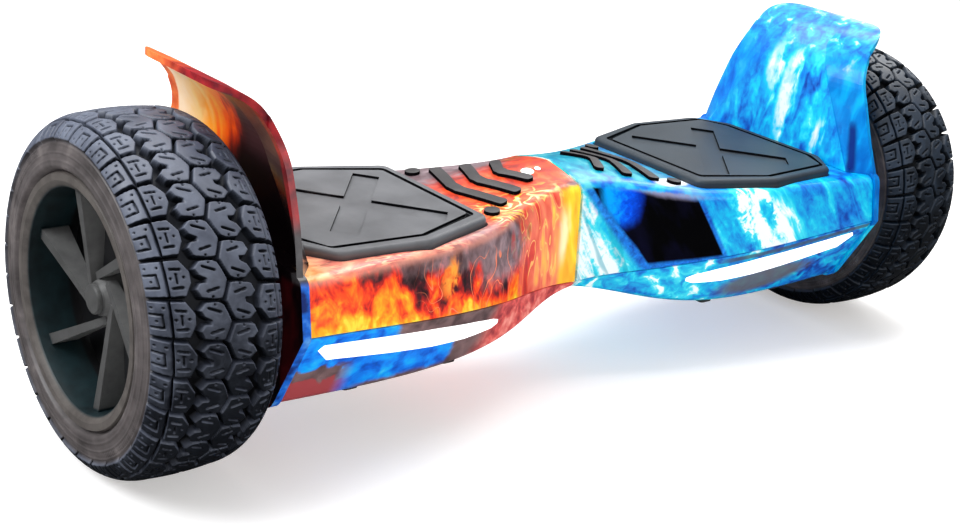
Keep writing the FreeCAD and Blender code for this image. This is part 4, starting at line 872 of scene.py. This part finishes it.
def profile_point(s):
    """Place and outward direction on the tyre's outer surface at distance s from the middle."""
    side = math.copysign(1.0, s)
    s = abs(s)
    if s <= FLAT_HALF:
        return s * side, TYRE_R / MM, 0.0, 1.0
    angle = min((s - FLAT_HALF) / SHOULDER, math.pi / 2)
    beyond = max(0.0, s - FLAT_HALF - SHOULDER * math.pi / 2)
    x = FLAT_HALF + SHOULDER * math.sin(angle)
    r = TYRE_R / MM - SHOULDER + SHOULDER * math.cos(angle) - beyond
    return x * side, r, math.sin(angle) * side, math.cos(angle)


def wall_relief(reach, turn):
    """Moulded rings on the sidewall, and fine ribs over two stretches of it. Positive stands proud."""
    rings = sum(0.4 * (1 - smoothstep(np.abs(reach - at), 0.3, 0.8)) for at in RINGS)
    ribs = 0.5 + 0.5 * np.cos(turn * RIBS)
    stretch = smoothstep(np.cos(2 * (turn - 0.8)), 0.80, 0.90)
    zone = smoothstep(reach, 49.9, 50.4) * (1 - smoothstep(reach, 52.6, 53.1))
    return rings + 0.45 * ribs * stretch * zone


def tyre_surface():
    """The tyre's outside from bead to bead: x from its middle, radius, painted groove shade, and turns."""
    wall_end = FLAT_HALF + SHOULDER * math.pi / 2 + WALL_FALL
    half_steps = int(round(wall_end / STEP))
    s = np.linspace(-wall_end, wall_end, 2 * half_steps + 1)
    turn = np.arange(PITCHES * PER_PITCH) * 2 * math.pi / (PITCHES * PER_PITCH)
    base = np.array([profile_point(v) for v in s])
    solid, cut = (np.tile(part, (1, PITCHES)) for part in tread_cell(s))
    reach = np.abs(s)[:, None]
    wall = smoothstep(reach, LUG_END - 0.5, LUG_END + 2.0)
    shallow = 1 - 0.6 * smoothstep(reach, LUG_END - 9.0, LUG_END + 1.0)
    lug_depth = (GROOVE * (1 - solid) + SIPE * cut * solid) * shallow
    fade = smoothstep(reach, wall_end - 7.0, wall_end)
    wall_depth = WALL_SINK * (1 - 0.4 * fade) - wall_relief(reach, turn[None, :])
    crown = CROWN_DROP * np.clip(reach / FLAT_HALF, 0, 1) ** 2 * (1 - smoothstep(reach, FLAT_HALF, 40.0))
    total = lug_depth * (1 - wall) + wall_depth * wall + crown
    # Painted shade: how dark the grooves and sipes are painted.
    dark = np.maximum(0.85 * (1 - solid), 0.8 * cut * solid) * (1 - wall)
    return base[:, 0:1] - base[:, 2:3] * total, base[:, 1:2] - base[:, 3:4] * total, dark, turn


def bead_rows(wall_x, wall_r):
    """Extra (x, radius) rows that close the tyre round its beads and over the rim's seat."""
    bead_x = (TYRE_OUT - TYRE_IN) / 2 / MM - BEAD_INSET
    corner = [(wall_x - 0.6, wall_r - 1.6), (bead_x, wall_r - 2.6), (bead_x, SEAT_R + 1.0),
              (bead_x - 1.5, SEAT_R)]
    return corner + [(-x, r) for x, r in reversed(corner)]


def tyre_mesh(name, side):
    """One tyre as a closed mesh, tread and all. side is +1 for the right wheel."""
    x, r, dark, turn = tyre_surface()
    for extra_x, extra_r in bead_rows(abs(float(x[-1].mean())), float(r[-1].mean())):
        x = np.vstack([x, np.full((1, x.shape[1]), extra_x)])
        r = np.vstack([r, np.full((1, r.shape[1]), extra_r)])
        dark = np.vstack([dark, np.zeros((1, dark.shape[1]))])
    rows, columns = r.shape
    middle = (TYRE_IN + TYRE_OUT) / 2
    points = np.stack([
        side * (middle + x * MM),
        np.sin(turn)[None, :] * r * MM,
        AXLE + np.cos(turn)[None, :] * r * MM,
    ], axis=-1).reshape(-1, 3)
    row, column = np.meshgrid(np.arange(rows), np.arange(columns), indexing="ij")
    next_row, next_column = (row + 1) % rows, (column + 1) % columns
    quads = np.stack([row * columns + column, next_row * columns + column, next_row * columns + next_column,
                      row * columns + next_column], axis=-1).reshape(-1, 4)
    if side > 0:
        quads = quads[:, ::-1]
    mesh = bpy.data.meshes.new(name)
    mesh.vertices.add(len(points))
    mesh.vertices.foreach_set("co", points.astype(np.float32).ravel())
    mesh.loops.add(quads.size)
    mesh.loops.foreach_set("vertex_index", quads.astype(np.int32).ravel())
    mesh.polygons.add(len(quads))
    mesh.polygons.foreach_set("loop_start", np.arange(0, quads.size, 4, dtype=np.int32))
    mesh.polygons.foreach_set("use_smooth", np.ones(len(quads), bool))
    # Stores the painted groove shade for the material.
    groove = mesh.attributes.new("groove", "FLOAT", "POINT")
    groove.data.foreach_set("value", dark.astype(np.float32).ravel())
    mesh.update(calc_edges=True)
    return mesh


def build_tyres(material):
    for label, side in (("left", -1), ("right", 1)):
        mesh = tyre_mesh(label + "_tread_tyre", side)
        mesh.materials.append(material)
        tyre = bpy.data.objects.new(mesh.name, mesh)
        bpy.context.scene.collection.objects.link(tyre)
        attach(tyre, label + "_wheel")
        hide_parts(label + "_tyre")


# ---- stage -----------------------------------------------
def floor():
    """A plain white floor. Its mirror image is kept dark, so that gloss and rubber keep their contrast."""
    mesh = bpy.data.meshes.new("floor")
    reach = 30.0              # metres, far past the picture's edges
    corners = [(-reach, -reach, 0), (reach, -reach, 0), (reach, reach, 0), (-reach, reach, 0)]
    mesh.from_pydata(corners, [], [(0, 1, 2, 3)])
    ground = bpy.data.objects.new("floor", mesh)
    ground.location.z = -0.2 * MM    # just below the tyres, so that the two faces do not flicker
    bpy.context.scene.collection.objects.link(ground)
    g = Graph("floor_paint")
    tone = g.noise(g.point, 400.0, 2.0)
    white = g.ramp(tone, [(0.3, (0.74, 0.735, 0.73)), (0.7, (0.77, 0.77, 0.77))])
    g.put(Base_Color=g.mix(g.seen_by("glossy"), white, (0.10, 0.10, 0.10)),
          Roughness=0.9, Specular_IOR_Level=0.0,
          Emission_Color=(1.0, 0.975, 0.96), Emission_Strength=g.mul(g.seen_by("camera"), FLOOR_GLOW))
    mesh.materials.append(g.material)


def softbox(name, place, target, size, power, colour=(1.0, 1.0, 1.0)):
    """A rectangular area light at a place, turned to a target. Power is in watts."""
    light = bpy.data.lights.new(name, "AREA")
    light.shape = "RECTANGLE"
    light.size, light.size_y = size
    light.energy = power
    light.color = colour
    lamp = bpy.data.objects.new(name, light)
    lamp.location = place
    lamp.rotation_euler = (Vector(target) - Vector(place)).to_track_quat("-Z", "Y").to_euler()
    bpy.context.scene.collection.objects.link(lamp)


def lights():
    softbox("overhead", (0.1, 0.35, 1.5), (0, 0, 0.1), (2.0, 1.2), 30)
    softbox("left_key", (-1.5, 0.3, 1.2), (-0.25, 0, 0.1), (0.8, 0.8), 26, (0.96, 0.98, 1.0))
    softbox("front_fill", (0.2, -2.0, 0.9), (0.0, 0, 0.08), (1.6, 0.8), 7)
    softbox("right_rim", (1.4, 0.5, 0.9), (0.25, 0, 0.1), (0.8, 0.8), 7)


def surround():
    """A white room for the camera and for soft light. In reflections it is bright only overhead."""
    world = bpy.data.worlds.new("studio")
    world.use_nodes = True
    tree = world.node_tree
    background = tree.nodes["Background"]
    background.inputs["Color"].default_value = (1.0, 1.0, 1.0, 1.0)
    path = tree.nodes.new("ShaderNodeLightPath")
    coords = tree.nodes.new("ShaderNodeTexCoord")
    height = tree.nodes.new("ShaderNodeSeparateXYZ")
    tree.links.new(coords.outputs["Generated"], height.inputs[0])
    mirrored_sky = tree.nodes.new("ShaderNodeMapRange")
    tree.links.new(height.outputs[2], mirrored_sky.inputs["Value"])
    for end, value in {"From Min": 0.12, "From Max": 0.85, "To Min": 0.10, "To Max": 0.90}.items():
        mirrored_sky.inputs[end].default_value = value
    soft = tree.nodes.new("ShaderNodeMix")
    soft.inputs["A"].default_value = 0.62
    tree.links.new(path.outputs["Is Glossy Ray"], soft.inputs["Factor"])
    tree.links.new(mirrored_sky.outputs[0], soft.inputs["B"])
    seen = tree.nodes.new("ShaderNodeMix")
    seen.inputs["B"].default_value = 1.05
    tree.links.new(path.outputs["Is Camera Ray"], seen.inputs["Factor"])
    tree.links.new(soft.outputs["Result"], seen.inputs["A"])
    tree.links.new(seen.outputs["Result"], background.inputs["Strength"])
    bpy.context.scene.world = world


CAMERA_PLACE = (-0.7084, -0.7587, 0.4600)
CAMERA_YAW = 40.886       # degrees from +Y towards +X
CAMERA_PITCH = 20.594     # degrees down
CAMERA_ROLL = 6.132
CAMERA_LENS = 58.11       # on a 36 mm sensor


def camera():
    """The camera, at the photo's angle."""
    yaw, pitch, roll = (math.radians(a) for a in (CAMERA_YAW, CAMERA_PITCH, CAMERA_ROLL))
    turn = Matrix.Rotation(-yaw, 4, "Z") @ Matrix.Rotation(math.pi / 2 - pitch, 4, "X")
    turn = turn @ Matrix.Rotation(roll, 4, "Z")
    data = bpy.data.cameras.new("camera")
    data.sensor_width = 36.0
    data.lens = CAMERA_LENS
    data.clip_start, data.clip_end = 0.02, 100.0
    view = bpy.data.objects.new("camera", data)
    view.matrix_world = Matrix.Translation(CAMERA_PLACE) @ turn
    bpy.context.scene.collection.objects.link(view)
    bpy.context.scene.camera = view


def look():
    """Plain tone mapping, so the paint keeps its saturation."""
    settings = bpy.context.scene.view_settings
    settings.view_transform = "Standard"
    settings.look = "None"


materials = paint_nodes()
for soft_name, soft_width in (("rim", 0.9), ("hub_cap", 0.5), ("foot_pad", 0.3), ("grip_strips", 1.1),
                              ("upper_shell", 0.35), ("lower_shell", 0.35)):
    for half in side_pair(soft_name):
        soften(half, soft_width)
build_tyres(materials["tyre_rubber"])
floor()
lights()
surround()
camera()
look()
